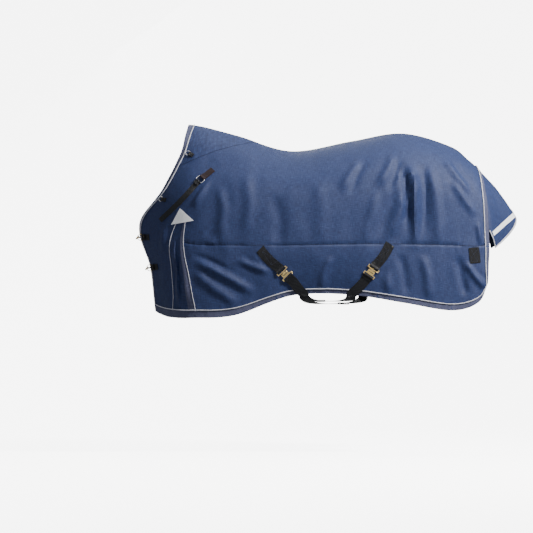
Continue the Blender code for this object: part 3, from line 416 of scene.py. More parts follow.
def withers_v(u):
    """How far down the withers seam lies at u, found where the skin comes down to the seam's height."""
    seam = [Vector(point) / 100 for point in WITHERS_SEAM]
    low, high = 0.0, 3.0
    for _ in range(24):
        v = (low + high) / 2
        here = skin(u, v)
        for a, b in zip(seam, seam[1:]):
            if here.x <= b.x:
                break
        share = (here.x - a.x) / (b.x - a.x)
        if here.z > mix(a.y, b.y, share):
            low = v
        else:
            high = v
    return low


def column_u(side, column, v):
    edge = front_edge(side, v)
    if column <= GUSSET_COLUMN:
        return mix(edge, gusset_front(v), column / FRONT_CELLS)
    if column <= REAR_COLUMN:
        return mix(gusset_front(v), gusset_rear(v), (column - GUSSET_COLUMN) / GUSSET_CELLS)
    return mix(gusset_rear(v), LAST_RIB, (column - REAR_COLUMN) / REAR_CELLS)


WITHERS_LINE = [max(withers_v(column_u(LEFT, column, 1.0)), WITHERS_TIP) for column in range(COLUMNS + 1)]
WITHERS_END = next(column for column, v in enumerate(WITHERS_LINE) if v <= WITHERS_TIP)


def row_v(column, row):
    seam = WITHERS_LINE[column]
    if row <= WITHERS_CELLS:
        return seam * (1 - (1 - row / WITHERS_CELLS) ** 1.5)
    if row <= GUSSET_ROW:
        return mix(seam, GUSSET_V, ((row - WITHERS_CELLS) / CROWN_CELLS) ** 1.2)
    if row <= SEAM_ROW:
        return mix(GUSSET_V, SEAM_V, 1 - (1 - (row - GUSSET_ROW) / YOKE_CELLS) ** 2)
    return mix(SEAM_V, HEM_V, ((row - SEAM_ROW) / SIDE_CELLS) ** 1.6)


SHAPE = {}


def knot(side, column, row):
    """The cloth's outer face, and the way out of it, where a column and a row cross."""
    key = (side, column, row)
    if key not in SHAPE:
        v = row_v(column, row)
        u = column_u(side, column, v)
        here = on_rug(side, u, v)
        away = outward(abs(u), v)
        facing = side if u >= 0 else -side
        SHAPE[key] = (here, Vector((away.x, away.y * facing, away.z)))
    return SHAPE[key]


def pleat(column, row):
    """The gusset's cloth is pressed into knife pleats that open towards the hem and lie flat in its tape."""
    if not GUSSET_COLUMN < column < REAR_COLUMN or row <= GUSSET_ROW:
        return 0.0
    across = (column - GUSSET_COLUMN) / GUSSET_CELLS
    deep = PLEAT_DEPTH * ease((row - GUSSET_ROW) / (ROWS - GUSSET_ROW) * 1.3)
    fold = (across * PLEAT_COUNT + PLEAT_START) % 1.0
    hemmed = ease((ROWS - row - PLEAT_HEM_ROWS) / PLEAT_FADE_ROWS)
    sides = ease(across / PLEAT_FRONT_EASE) * ease((1 - across) / PLEAT_REAR_EASE)
    return deep * (PLEAT_LIFT * fold * hemmed - 1) * sides


def with_modifier(piece, kind, smooth, **settings):
    """Applies a modifier with its settings, and smooths the faces that meet below an angle in degrees."""
    deselect()
    piece.select_set(True)
    bpy.context.view_layer.objects.active = piece
    modifier = piece.modifiers.new("step", kind)
    for key, value in settings.items():
        setattr(modifier, key, value)
    bpy.ops.object.modifier_apply(modifier="step")
    bpy.ops.object.shade_smooth_by_angle(angle=math.radians(smooth))
    return piece


def open_grid(name, columns, rows, first_row=0):
    """A new flat grid, its editable mesh, and each of its points' (column, row)."""
    deselect()
    bpy.ops.mesh.primitive_grid_add(x_subdivisions=columns, y_subdivisions=rows, size=2)
    grid = bpy.context.object
    grid.name = name
    shape = bmesh.new()
    shape.from_mesh(grid.data)
    places = {}
    for vertex in shape.verts:
        column, row = round((vertex.co.x + 1) / 2 * columns), round((vertex.co.y + 1) / 2 * rows)
        places[vertex] = (column, row + first_row)
    return grid, shape, places


def close_grid(grid, shape, places, weave_at, thickness, offset):
    """Gives a grid that has been laid out the course of its weave, and its thickness."""
    weave = shape.loops.layers.uv.verify()
    for face in shape.faces:
        for loop in face.loops:
            loop[weave].uv = weave_at(*places[loop.vert])
    shape.normal_update()
    shape.to_mesh(grid.data)
    shape.free()
    return with_modifier(grid, "SOLIDIFY", 35, thickness=thickness, offset=offset)


def weave_on_rug(column, row):
    return WEAVE_U[column], WEAVE_V[abs(row)] * (1 if row >= 0 else -1)


def layer(name, keep, out, thickness, pleated=True):
    """A sheet over the grid cells that keep(column, row, side) picks, its outer face out from the shell's."""
    sheet, shape, places = open_grid(name, COLUMNS, 2 * ROWS, -ROWS)
    spare = []
    for face in shape.faces:
        column = min(places[vertex][0] for vertex in face.verts)
        low = min(places[vertex][1] for vertex in face.verts)
        side, row = (LEFT, -low - 1) if low < 0 else (RIGHT, low)
        if not keep(column, row, side):
            spare.append(face)
    bmesh.ops.delete(shape, geom=spare, context="FACES")
    for vertex in shape.verts:
        column, row = places[vertex]
        side = LEFT if row < 0 else RIGHT
        here, away = knot(side, column, abs(row))
        vertex.co = here + away * (out + (pleat(column, abs(row)) if pleated else 0.0))
    return close_grid(sheet, shape, places, weave_on_rug, thickness, -1)


def run_lengths(points):
    total, lengths = 0.0, [0.0]
    for a, b in zip(points, points[1:]):
        total += (b - a).length
        lengths.append(total)
    return lengths


WEAVE_U = run_lengths([knot(LEFT, column, GUSSET_ROW)[0] for column in range(COLUMNS + 1)])
WEAVE_V = run_lengths([knot(LEFT, COLUMNS // 2, row)[0] for row in range(ROWS + 1)])


def maths(nodes, links, operation, first, second):
    """A node's output added to or multiplied by another one or a plain number."""
    both = nodes.new("ShaderNodeMath")
    both.operation = operation
    links.new(first, both.inputs[0])
    if isinstance(second, float):
        both.inputs[1].default_value = second
    else:
        links.new(second, both.inputs[1])
    return both.outputs[0]


def yarn_mix(nodes, links, coordinates, scales, detail):
    """Two crossed sets of long thin noise, as the warp and the weft of a heathered yarn show."""
    threads = []
    for scale in scales:
        turn = nodes.new("ShaderNodeMapping")
        turn.inputs["Scale"].default_value = scale
        links.new(coordinates, turn.inputs["Vector"])
        grain = nodes.new("ShaderNodeTexNoise")
        grain.inputs["Scale"].default_value = 1.0
        grain.inputs["Detail"].default_value = detail
        links.new(turn.outputs["Vector"], grain.inputs["Vector"])
        threads.append(grain.outputs["Fac"])
    both = maths(nodes, links, "ADD", threads[0], threads[1])
    return maths(nodes, links, "MULTIPLY", both, 0.5)


def ramp(nodes, links, source, stops):
    band = nodes.new("ShaderNodeValToRGB")
    while len(band.color_ramp.elements) < len(stops):
        band.color_ramp.elements.new(0.5)
    for element, (place, colour) in zip(band.color_ramp.elements, stops):
        element.position = place
        element.color = (*colour, 1)
    links.new(source, band.inputs["Fac"])
    return band.outputs["Color"]


def bump(nodes, links, source, distance, strength, under=None):
    relief = nodes.new("ShaderNodeBump")
    relief.inputs["Strength"].default_value = strength
    relief.inputs["Distance"].default_value = distance
    links.new(source, relief.inputs["Height"])
    if under is not None:
        links.new(under, relief.inputs["Normal"])
    return relief.outputs["Normal"]


def weave_height(nodes, links, coordinates, pitch):
    """The crossed ribs of a plain weave, as waves along and across the cloth."""
    ribs = []
    for direction in ("X", "Y"):
        wave = nodes.new("ShaderNodeTexWave")
        wave.wave_type = "BANDS"
        wave.bands_direction = direction
        wave.inputs["Scale"].default_value = 0.314 / pitch
        wave.inputs["Distortion"].default_value = 0.6
        wave.inputs["Detail"].default_value = 1.0
        links.new(coordinates, wave.inputs["Vector"])
        ribs.append(wave.outputs["Fac"])
    return maths(nodes, links, "MULTIPLY", ribs[0], ribs[1])


YARN_DETAIL, YARN_RELIEF, YARN_STRENGTH = 3.0, 0.0006, 0.25


def cloth_finish(name, dark, mid, light, rough, sheen, pitch, relief, threads, from_uv=True):
    """A woven cloth: mottled yarn colour, a fine woven relief and a soft sheen."""
    finish, nodes, links, shader = new_finish(name, {
        "Roughness": rough, "Specular IOR Level": 0.32, "Sheen Weight": sheen, "Sheen Roughness": 0.45,
        "Sheen Tint": (0.75, 0.82, 1.0, 1)})
    coordinates = nodes.new("ShaderNodeTexCoord").outputs["UV" if from_uv else "Object"]
    yarn = yarn_mix(nodes, links, coordinates, threads, YARN_DETAIL)
    colour = ramp(nodes, links, yarn, ((0.32, dark), (0.5, mid), (0.68, light)))
    links.new(colour, shader.inputs["Base Color"])
    fine = bump(nodes, links, weave_height(nodes, links, coordinates, pitch), pitch * 0.5, relief)
    soft = bump(nodes, links, yarn, YARN_RELIEF, YARN_STRENGTH, fine)
    links.new(soft, shader.inputs["Normal"])
    return finish


navy_ripstop = cloth_finish(
    "navy_ripstop", (0.009, 0.0165, 0.056), (0.0165, 0.030, 0.098), (0.032, 0.055, 0.158), 0.58, 0.05,
    0.0014, 0.35, ((34, 420, 1), (420, 34, 1)))


def dress(piece, finish, slot_name, body, *nodes, blend=None):
    """Gives a piece its finish, rides it on a body or, when blend is given, bakes its placement into its
    mesh, and hides the CAD nodes it stands for. The slot_name is not used.
    """
    piece.data.materials.clear()
    piece.data.materials.append(finish)
    if blend is None:
        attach(piece, body)
    else:
        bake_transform(piece)
    if nodes:
        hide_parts(*nodes)
    return piece


def in_gusset(column, row):
    return GUSSET_COLUMN <= column < REAR_COLUMN and row >= GUSSET_ROW


def in_side_panel(column, row):
    return column >= REAR_COLUMN and row >= SEAM_ROW


def in_withers(column, row):
    return column < WITHERS_END and row < WITHERS_CELLS


main_panel = layer("main_panel_cloth", lambda c, r, s: not (in_gusset(c, r) or in_side_panel(c, r)
                                                            or in_withers(c, r)), 0, SHELL_THICK)
dress(main_panel, navy_ripstop, "shell_cloth", "rug", "main_panel")
withers_panel = layer("withers_panel_cloth", lambda c, r, s: in_withers(c, r), 0.0004, SHELL_THICK)
dress(withers_panel, navy_ripstop, "shell_cloth", "rug", "withers_panel")
for side, word in SIDES:
    side_panel = layer("side_panel_cloth_" + word, lambda c, r, s: s == side and in_side_panel(c, r),
                       0, SHELL_THICK)
    dress(side_panel, navy_ripstop, "shell_cloth", "rug", "side_panel_" + word)
    gusset = layer("gusset_cloth_" + word, lambda c, r, s: s == side and in_gusset(c, r), 0, SHELL_THICK)
    dress(gusset, navy_ripstop, "shell_cloth", "rug", "gusset_" + word)

# ------------------------------------------------------------------------------ filling and lining
# Polyester wadding lies between the shell and a smooth dark nylon lining, which is all that shows inside
# the rug, at the neck and along the open belly and rear. The pleated gussets have no wadding, so they spread.

white_wadding = cloth_finish(
    "white_wadding", (0.62, 0.62, 0.64), (0.74, 0.74, 0.76), (0.84, 0.84, 0.86), 0.95, 0.2,
    0.004, 0.5, ((60, 90, 1), (90, 60, 1)))
wadding = layer("wadding", lambda c, r, s: not in_gusset(c, r), -(SHELL_THICK + LAYER_GAP), FILL_THICK)
dress(wadding, white_wadding, "fill", "rug", "insulation")
nylon_lining = cloth_finish(
    "nylon_lining", (0.010, 0.013, 0.032), (0.017, 0.022, 0.052), (0.028, 0.036, 0.078), 0.42, 0.10,
    0.0009, 0.25, ((20, 300, 1), (300, 20, 1)))
lining = layer("lining_cloth_sheet", lambda c, r, s: True, -(STACK - LINING_THICK), LINING_THICK,
               pleated=False)
dress(lining, nylon_lining, "lining_cloth", "rug", "lining")

# -------------------------------------------------------------------------------- bindings and piping
# A folded tape covers every raw edge, sewn through all the layers, with a corded piping in its seam that
# reads as a thin pale line. The neck has one length, and each side has one from the chest round to the tail.

BINDING_WIDTH, TAPE_THICK, PIPING_RADIUS = 0.022, 0.0010, 0.0024
RIM_GAP, FIT_GAP = 0.0013, 0.0004
RIM_STEP = 0.010
NECK_RIM, FLAP_RIM, HEM_RIM, REAR_RIM = 0.75, 0.45, 1.75, 0.85
CORNER_EASE = 0.35
FOLD_PUFF = 0.0014
MERGE_DISTANCE = 0.00002


def inset_u(side, v):
    edge = front_edge(side, v)
    return edge + BINDING_WIDTH * per_metre_along(max(edge, 0), v, 0.1)


def inset_rear(v):
    return LAST_RIB - BINDING_WIDTH * per_metre_along(LAST_RIB, v, -0.1)


HEM_INSET = HEM_V - BINDING_WIDTH * 0.1 / (skin(5.0, HEM_V) - skin(5.0, HEM_V - 0.1)).length


def stations(start, end, length):
    count = max(2, round(length / RIM_STEP))
    return [mix(start, end, step / count) for step in range(count + 1)]


def neck_rim():
    """The neck opening's rim from the left flap to the right one, as (side, u, v, inner u, inner v)."""
    run = stations(SEAM_V, 0, NECK_RIM)
    rim = [(LEFT, front_edge(LEFT, v), v, inset_u(LEFT, v), v) for v in run]
    return rim + [(RIGHT, front_edge(RIGHT, v), v, inset_u(RIGHT, v), v) for v in reversed(run[:-1])]


def edge_rim(side):
    """One side's rim from the chest down the front flap, along the hem and up the rear edge to the spine."""
    rim = []
    for v in stations(SEAM_V, HEM_V, FLAP_RIM):
        rim.append((side, front_edge(side, v), v, inset_u(side, v), min(v, HEM_INSET)))
    front = front_edge(side, HEM_V)
    for u in stations(front, LAST_RIB, HEM_RIM - 0.1 * front)[1:-1]:
        rim.append((side, u, HEM_V, min(max(u, inset_u(side, HEM_V)), inset_rear(HEM_V)), HEM_INSET))
    for v in stations(HEM_V, 0, REAR_RIM):
        rim.append((side, LAST_RIB, v, inset_rear(v), min(v, HEM_INSET)))
    return rim


def strip(name, lines, thickness, offset):
    """A band through lines of points, each line running across the band, with its weave along it."""
    count, across = len(lines), len(lines[0])
    lengths = run_lengths([line[across // 2] for line in lines])
    widths = run_lengths(lines[count // 2])
    band, shape, places = open_grid(name, count - 1, across - 1)
    for vertex, (index, part) in places.items():
        vertex.co = lines[index][part]
    return close_grid(band, shape, places, lambda index, part: (lengths[index], widths[part]),
                      thickness, offset)


def fold_over(place):
    """The tape's course round the edge at one place of the rim: outer leg, fold and inner leg."""
    side, u, v, inner_u, inner_v = place
    rim, inner = on_rug(side, u, v, FIT_GAP), on_rug(side, inner_u, inner_v, FIT_GAP)
    low_rim = on_rug(side, u, v, -STACK - RIM_GAP)
    low_inner = on_rug(side, inner_u, inner_v, -STACK - RIM_GAP)
    away = (rim - inner).normalized()
    edge = away * RIM_GAP
    puff = away * (RIM_GAP + FOLD_PUFF)
    return [inner, mix(inner, rim, 0.5), rim + edge * 0.6, mix(rim, low_rim, 0.3) + puff,
            mix(rim, low_rim, 0.7) + puff, low_rim + edge * 0.6, mix(low_inner, low_rim, 0.5), low_inner]


woven_tape = cloth_finish(
    "woven_tape", (0.040, 0.044, 0.085), (0.066, 0.073, 0.135), (0.105, 0.112, 0.190), 0.7, 0.1,
    0.0016, 0.6, ((90, 700, 1), (700, 90, 1)))
pale_piping = cloth_finish(
    "pale_piping", (0.46, 0.46, 0.52), (0.62, 0.62, 0.68), (0.76, 0.76, 0.82), 0.55, 0.1,
    0.0010, 0.5, ((400, 400, 400), (150, 150, 150)), False)


def tube(name, points, radius, rounds=3):
    """A round cord through points, made a mesh."""
    deselect()
    data = bpy.data.curves.new(name, "CURVE")
    data.dimensions = "3D"
    data.bevel_depth = radius
    data.bevel_resolution = rounds
    data.use_fill_caps = True
    line = data.splines.new("POLY")
    line.points.add(len(points) - 1)
    for knot_point, point in zip(line.points, points):
        knot_point.co = (*point, 1)
    cord = bpy.data.objects.new(name, data)
    bpy.context.scene.collection.objects.link(cord)
    cord.select_set(True)
    bpy.context.view_layer.objects.active = cord
    bpy.ops.object.convert(target="MESH")
    weld(cord)
    cord.data.shade_smooth()
    return cord


def weld(piece):
    """Closes the seams of a mesh whose faces were made apart, and turns its faces outward."""
    shape = bmesh.new()
    shape.from_mesh(piece.data)
    bmesh.ops.remove_doubles(shape, verts=shape.verts, dist=MERGE_DISTANCE)
    bmesh.ops.recalc_face_normals(shape, faces=shape.faces)
    shape.to_mesh(piece.data)
    shape.free()


def piping_path(rim):
    points = []
    for side, u, v, inner_u, inner_v in rim:
        inner = on_rug(side, inner_u, inner_v, PIPING_RADIUS + 3 * FIT_GAP)
        back = (inner - on_rug(side, u, v, PIPING_RADIUS + 3 * FIT_GAP)).normalized()
        point = inner + back * (PIPING_RADIUS + FIT_GAP)
        if not points or (point - points[-1]).length > RIM_STEP * CORNER_EASE:
            points.append(point)
    return points


RIMS = {"neck": neck_rim(), "edge_left": edge_rim(LEFT), "edge_right": edge_rim(RIGHT)}
for word, rim in RIMS.items():
    first, _, last = word.partition("_")
    suffix = "_" + last if last else ""
    tape = strip(f"{first}_binding_tape{suffix}", [fold_over(place) for place in rim], TAPE_THICK, 1)
    dress(tape, woven_tape, "binding_tape", "rug", f"{first}_binding{suffix}")
    cord = tube(f"{first}_piping_cord{suffix}", piping_path(rim), PIPING_RADIUS)
    dress(cord, pale_piping, "piping", "rug", f"{first}_piping{suffix}")

# --------------------------------------------------------------------------------------- gusset trim
# The pleated shoulder gusset has a cord sewn along its front and rear seams and a band of the binding tape
# beside the rear one. A reflective triangle is sewn over its top, where the two seams meet.

GUSSET_TAPE_CELLS = 4
GUSSET_CORD_RADIUS, GUSSET_CORD_OUT = 0.0015, 0.0016
TRIANGLE = ((-66, -28), (-70.6, -36.3), (-59.1, -34.3))
TRIANGLE_OUT, TRIANGLE_TIP, TRIANGLE_ROWS, TRIANGLE_PARTS = 0.0042, 0.02, 16, 12
TRIM_THICK = 0.0006
SKIN_STEP = 0.01


def seam_line(places, out):
    """Points along a seam, standing out from the cloth at grid crossings (side, column, row)."""
    return [here + away * out for here, away in (knot(*place) for place in places)]


def triangle_patch(name, side, out, thickness):
    """The reflective triangle, as rows of points from its apex down to its base, laid on the cloth."""
    apex, left, right = (Vector(point) / 100 for point in TRIANGLE)
    lines = []
    for step in range(TRIANGLE_ROWS + 1):
        share = max(step / TRIANGLE_ROWS, TRIANGLE_TIP)
        start, end = mix(apex, left, share), mix(apex, right, share)
        lines.append([onto_cloth(side, mix(start, end, part / TRIANGLE_PARTS), out)
                      for part in range(TRIANGLE_PARTS + 1)])
    return strip(name, lines, thickness, 0)


def onto_cloth(side, flat, out):
    """The place on the cloth at a side-view point, found by stepping along the skin to it."""
    u, v = 2.4, 3.7
    for _ in range(12):
        here = skin(u, v)
        along, down = skin(u + SKIN_STEP, v) - here, skin(u, v + SKIN_STEP) - here
        miss_x, miss_z = flat.x - here.x, flat.y - here.z
        area = along.x * down.z - along.z * down.x
        u += SKIN_STEP * (miss_x * down.z - miss_z * down.x) / area
        v += SKIN_STEP * (along.x * miss_z - along.z * miss_x) / area
    return on_rug(side, u, v, out)


reflective_tape = cloth_finish(
    "reflective_tape", (0.86, 0.88, 0.92), (0.93, 0.94, 0.97), (0.97, 0.98, 1.0), 0.30, 0.2,
    0.0022, 0.25, ((500, 500, 500), (180, 180, 180)), False)
for side, word in SIDES:
    tape = layer("gusset_tape_" + word, lambda c, r, s: s == side and r >= GUSSET_ROW
                 and REAR_COLUMN - GUSSET_TAPE_CELLS <= c < REAR_COLUMN,
                 TAPE_THICK + FIT_GAP, TAPE_THICK)
    dress(tape, woven_tape, "binding_tape", "rug", "gusset_binding_" + word)
    for place, column in (("front", GUSSET_COLUMN), ("rear", REAR_COLUMN)):
        path = seam_line([(side, column, row) for row in range(GUSSET_ROW, ROWS - 1)], GUSSET_CORD_OUT)
        cord = tube(f"gusset_cord_{place}_{word}", path, GUSSET_CORD_RADIUS)
        dress(cord, pale_piping, "piping", "rug")
    patch = triangle_patch("triangle_tape_" + word, side, TRIANGLE_OUT, TRIM_THICK)
    dress(patch, reflective_tape, "reflective", "rug", "reflective_triangle_" + word)

# ----------------------------------------------------------------------------------------- tail flap
# A deep flap of the shell cloth is sewn along the top of the rear edge and hangs over the tail, which
# holds its middle out. A cord edges it on its free sides, and a reflective strip is sewn across it.

TAIL_LINES = (
    (0.0, (100.5, 0, -29)), (0.7, (102.8, 4.5, -31.6)), (1.4, (103.2, 8, -35.4)),
    (2.1, (100.8, 11, -40)), (2.8, (96.5, 14.5, -44.6)), (GUSSET_V, (92.3, 19.2, -48)),
)
TAIL_BULGE, TAIL_THICK, TAIL_ROWS, TAIL_COLUMNS = 0.012, 0.004, 44, 26
TAIL_SEAM_GAP, TAIL_SWAY, TAIL_SWAY_TURNS, TAIL_RIPPLE = 0.0035, 0.0050, 9.0, 0.0022
TAIL_CORD_DOWN, TAIL_CORD_OUT, TAIL_CORD_RADIUS = 0.975, 0.0020, 0.0030
TAIL_STRIP = ((103.5, -30.2), (89.4, -42.2))
TAIL_STRIP_WIDTH, TAIL_STRIP_OUT, TAIL_STRIP_REACH, TAIL_STRIP_CELLS = 0.024, 0.0012, 0.97, 40
TAIL_STRIP_HIGHEST, TAIL_STRIP_LOWEST = 0.3, 0.99


def tail_end(v):
    starts = [start for start, end in TAIL_LINES]
    ends = [Vector(end) / 100 for start, end in TAIL_LINES]
    ends = [Vector((ends[1].x, -ends[1].y, ends[1].z)), *ends, 2 * ends[-1] - ends[-2]]
    index = max(k for k in range(len(starts) - 1) if starts[k] <= v)
    share = (v - starts[index]) / (starts[index + 1] - starts[index])
    return curve_through(*ends[index:index + 4], share)


def tail_place(across, down, out=0.0):
    """A point of the flap, across from -1 at its left side to 1 at its right, and down from 0 to 1."""
    side, v = (LEFT if across < 0 else RIGHT), GUSSET_V * abs(across)
    rim = skin(LAST_RIB, v)
    away = (rim - skin(LAST_RIB - 0.1, v)).normalized()
    normal = outward(LAST_RIB, v)
    point = mix(rim + away * TAIL_SEAM_GAP - normal * STACK / 3, tail_end(v), down)
    turn = math.sin(across * TAIL_SWAY_TURNS + side)
    sway = TAIL_SWAY * ease(down) * turn * ease((1 - abs(across)) / 0.15)
    ripple = TAIL_RIPPLE * noise.noise(Vector((across * 7, down * 3, 2.0)))
    point += normal * (TAIL_BULGE * 4 * down * (1 - down) + sway + ripple + out)
    return Vector((point.x, point.y * side, point.z))


flap_lines = [[tail_place(step / TAIL_ROWS, down / TAIL_COLUMNS) for down in range(TAIL_COLUMNS + 1)]
              for step in range(TAIL_ROWS, -TAIL_ROWS - 1, -1)]
TAIL_HINGE = tail_place(0, 0)
tail_flap = strip("tail_flap_cloth", flap_lines, TAIL_THICK, -1)
dress(tail_flap, navy_ripstop, "shell_cloth", "rug", "tail_flap", blend="tail_flap_body")
free_edge = [tail_place(step / TAIL_ROWS, TAIL_CORD_DOWN, TAIL_CORD_OUT)
             for step in range(-TAIL_ROWS, TAIL_ROWS + 1)]
left_side = [tail_place(-1.0, down / 10, -TAIL_THICK / 2) for down in range(1, 10)]
right_side = [tail_place(1.0, down / 10, -TAIL_THICK / 2) for down in range(9, 0, -1)]
edge_cord = tube("tail_flap_cord", left_side + free_edge + right_side, TAIL_CORD_RADIUS)
dress(edge_cord, pale_piping, "piping", "rug", blend="tail_flap_body")


def tail_strip_line(across):
    """The share of the way down the flap where the strip's side-view line crosses it."""
    top, low = (Vector(point) / 100 for point in TAIL_STRIP)
    above, below = TAIL_STRIP_HIGHEST, 1.0
    start_miss = strip_miss(across, TAIL_STRIP_HIGHEST, top, low)
    for _ in range(16):
        middle = (above + below) / 2
        if strip_miss(across, middle, top, low) * start_miss > 0:
            above = middle
        else:
            below = middle
    return above


def strip_miss(across, down, top, low):
    point = tail_place(across, down)
    run = low - top
    return (point.x - top.x) * run.y - (point.z - top.y) * run.x


strip_lines = []
for step in range(TAIL_STRIP_CELLS, -TAIL_STRIP_CELLS - 1, -1):
    across = step / TAIL_STRIP_CELLS * TAIL_STRIP_REACH
    middle = tail_strip_line(across)
    long = (tail_place(across, 1) - tail_place(across, 0)).length
    half = TAIL_STRIP_WIDTH / 2 / long
    strip_lines.append([tail_place(across, min(middle + half * part, TAIL_STRIP_LOWEST), TAIL_STRIP_OUT)
                        for part in (-1, -0.5, 0, 0.5, 1)])
tail_tape = strip("tail_reflective_tape", strip_lines, TRIM_THICK, 0)
dress(tail_tape, reflective_tape, "reflective", "rug", "tail_reflective_strip", blend="tail_flap_body")

# ---------------------------------------------------------------------------------------- seam thread
# The long seams are closed with a heavy polyester thread, sewn through the overlapped panels.
# It shows as a fine line pulled into the cloth. Its near-black colour is partly the thread's own dark colour
# and partly painted shade, the shade that lies in the seam's dip.

THREAD_RADIUS, THREAD_OUT = 0.0010, 0.0004
# Near-black thread colour: the thread's own dark colour together with painted shade of the seam's dip.
thread_and_painted_seam_shade = cloth_finish(
    "thread_and_painted_seam_shade", (0.003, 0.005, 0.014), (0.006, 0.009, 0.024), (0.012, 0.018, 0.04), 0.6, 0.02,
    0.0008, 0.6, ((700, 700, 700), (300, 300, 300)), False)


def seam_thread(name, side, row, columns):
    points = seam_line([(side, column, row) for column in columns], THREAD_OUT)
    dress(tube(name, points, THREAD_RADIUS, rounds=1), thread_and_painted_seam_shade, "shell_cloth", "rug")


# Each side's side seam and withers seam get the thread, and with it the painted seam shade.
for side, word in SIDES:
    seam_thread("side_seam_thread_" + word, side, SEAM_ROW, range(REAR_COLUMN, COLUMNS + 1))
    seam_thread("withers_seam_thread_" + word, side, WITHERS_CELLS, range(WITHERS_END + 1))

# ---------------------------------------------------------------------------------- webbing and straps
# All the straps are woven polypropylene webbing with crisp edges. Each lies or hangs as the frame places
# it, and is refined from there: its course is smoothed, and its corners are kept tight. The shoulder
# labels are small woven patches.

CREASE_ANGLE = math.radians(50)
WEBBING_LEVELS = 2


def frame_copy(name, node):
    """A copy of a frame piece, and its editable mesh with the doubled points merged."""
    piece = bpy.data.objects[node].copy()
    piece.data = piece.data.copy()
    piece.name = name
    bpy.context.scene.collection.objects.link(piece)
    piece.hide_render = False
    piece.hide_viewport = False
    shape = bmesh.new()
    shape.from_mesh(piece.data)
    bmesh.ops.remove_doubles(shape, verts=shape.verts, dist=MERGE_DISTANCE)
    return piece, shape


def refined(name, node, levels, crease=CREASE_ANGLE):
    """A finer copy of a frame piece: merged, turned to quads, its sharp edges creased, then subdivided."""
    piece, shape = frame_copy(name, node)
    bmesh.ops.join_triangles(shape, faces=shape.faces, angle_face_threshold=math.radians(25),
                             angle_shape_threshold=math.radians(60))
    marks = shape.edges.layers.float.get("crease_edge") or shape.edges.layers.float.new("crease_edge")
    for edge in shape.edges:
        edge[marks] = 1.0 if edge.calc_face_angle(0.0) > crease else 0.0
    shape.to_mesh(piece.data)
    shape.free()
    return with_modifier(piece, "SUBSURF", 40, levels=levels, render_levels=levels)


black_webbing = cloth_finish(
    "black_webbing", (0.0025, 0.003, 0.004), (0.005, 0.0055, 0.0075), (0.012, 0.013, 0.017), 0.5, 0.03,
    0.0020, 0.8, ((260, 260, 260), (900, 900, 900)), False)
woven_patch = cloth_finish(
    "woven_patch", (0.005, 0.003, 0.004), (0.010, 0.004, 0.005), (0.040, 0.009, 0.011), 0.6, 0.02,
    0.0012, 0.5, ((400, 400, 400), (900, 900, 900)), False)
WEBBING = ["front_surcingle_tab", "rear_surcingle_tab", "front_surcingle_strap", "rear_surcingle_strap",
           "front_far_patch", "rear_far_patch"]
WEBBING += [f"chest_{kind}_{place}" for kind in ("ring_patch", "strap") for place in UPPER_LOWER]
for word in LEFT_RIGHT:
    WEBBING += [f"shoulder_strap_{word}", f"leg_strap_anchor_{word}"]
    WEBBING += [f"neck_ring_tab_{place}_{word}" for place in UPPER_LOWER]
for node in WEBBING:
    dress(refined(node + "_web", node, WEBBING_LEVELS), black_webbing, "webbing", "rug", node)
for word in LEFT_RIGHT:
    node = "shoulder_label_" + word
    dress(refined(node + "_web", node, WEBBING_LEVELS), woven_patch, "label_patch", "rug", node)

# ----------------------------------------------------------------------------------- webbing stitches
# Each sewn-down end of webbing carries a box of machine stitches with a cross in it, in a dark blue thread.
# The box is set out in side view and pressed onto the webbing's own face.

STITCH, STITCH_SPACE, STITCH_RADIUS, BOX_INSET = 0.0030, 0.0042, 0.00045, 0.0045
STITCH_START, STITCH_ARCH = 0.15, (0.1, 0.9, 0.1)
SEWN_ENDS = (
    ("front_surcingle_tab", LEFT, (-0.2340, -0.4840), (-0.1830, -0.5570), 0.050),
    ("rear_surcingle_tab", LEFT, (0.3670, -0.4760), (0.3290, -0.5440), 0.050),
    ("leg_strap_anchor_left", LEFT, (0.8120, -0.4720), (0.8060, -0.5500), 0.055),
    ("leg_strap_anchor_right", RIGHT, (0.8120, -0.4720), (0.8060, -0.5500), 0.055),
)
stitch_thread = cloth_finish(
    "stitch_thread", (0.020, 0.026, 0.050), (0.036, 0.046, 0.085), (0.060, 0.074, 0.125), 0.6, 0.02,
    0.0008, 0.6, ((700, 700, 700), (300, 300, 300)), False)


def seat_on(piece, side, flat):
    """Where a side-view point meets a piece's outer face, and which way that face looks."""
    hit, place, away, _ = piece.ray_cast(Vector((flat.x, side * 2.0, flat.y)), Vector((0, -side, 0)))
    return (place, away) if hit else None


def stitch_line(shape, piece, side, a, b):
    count = max(1, int((b - a).length / STITCH_SPACE))
    for step in range(count):
        start = mix(a, b, (step + STITCH_START) / count)
        seats = [seat_on(piece, side, start + (b - a).normalized() * STITCH * share) for share in (0, 0.5, 1)]
        if None in seats:
            continue
        ends = [place + away * (STITCH_RADIUS * lift) for (place, away), lift in zip(seats, STITCH_ARCH)]
        for first, last in zip(ends, ends[1:]):
            run = last - first
            turn = run.to_track_quat("Z", "Y").to_matrix().to_4x4()
            bmesh.ops.create_cone(shape, cap_ends=True, segments=6, radius1=STITCH_RADIUS,
                                  radius2=STITCH_RADIUS, depth=run.length,
                                  matrix=Matrix.Translation((first + last) / 2) @ turn)


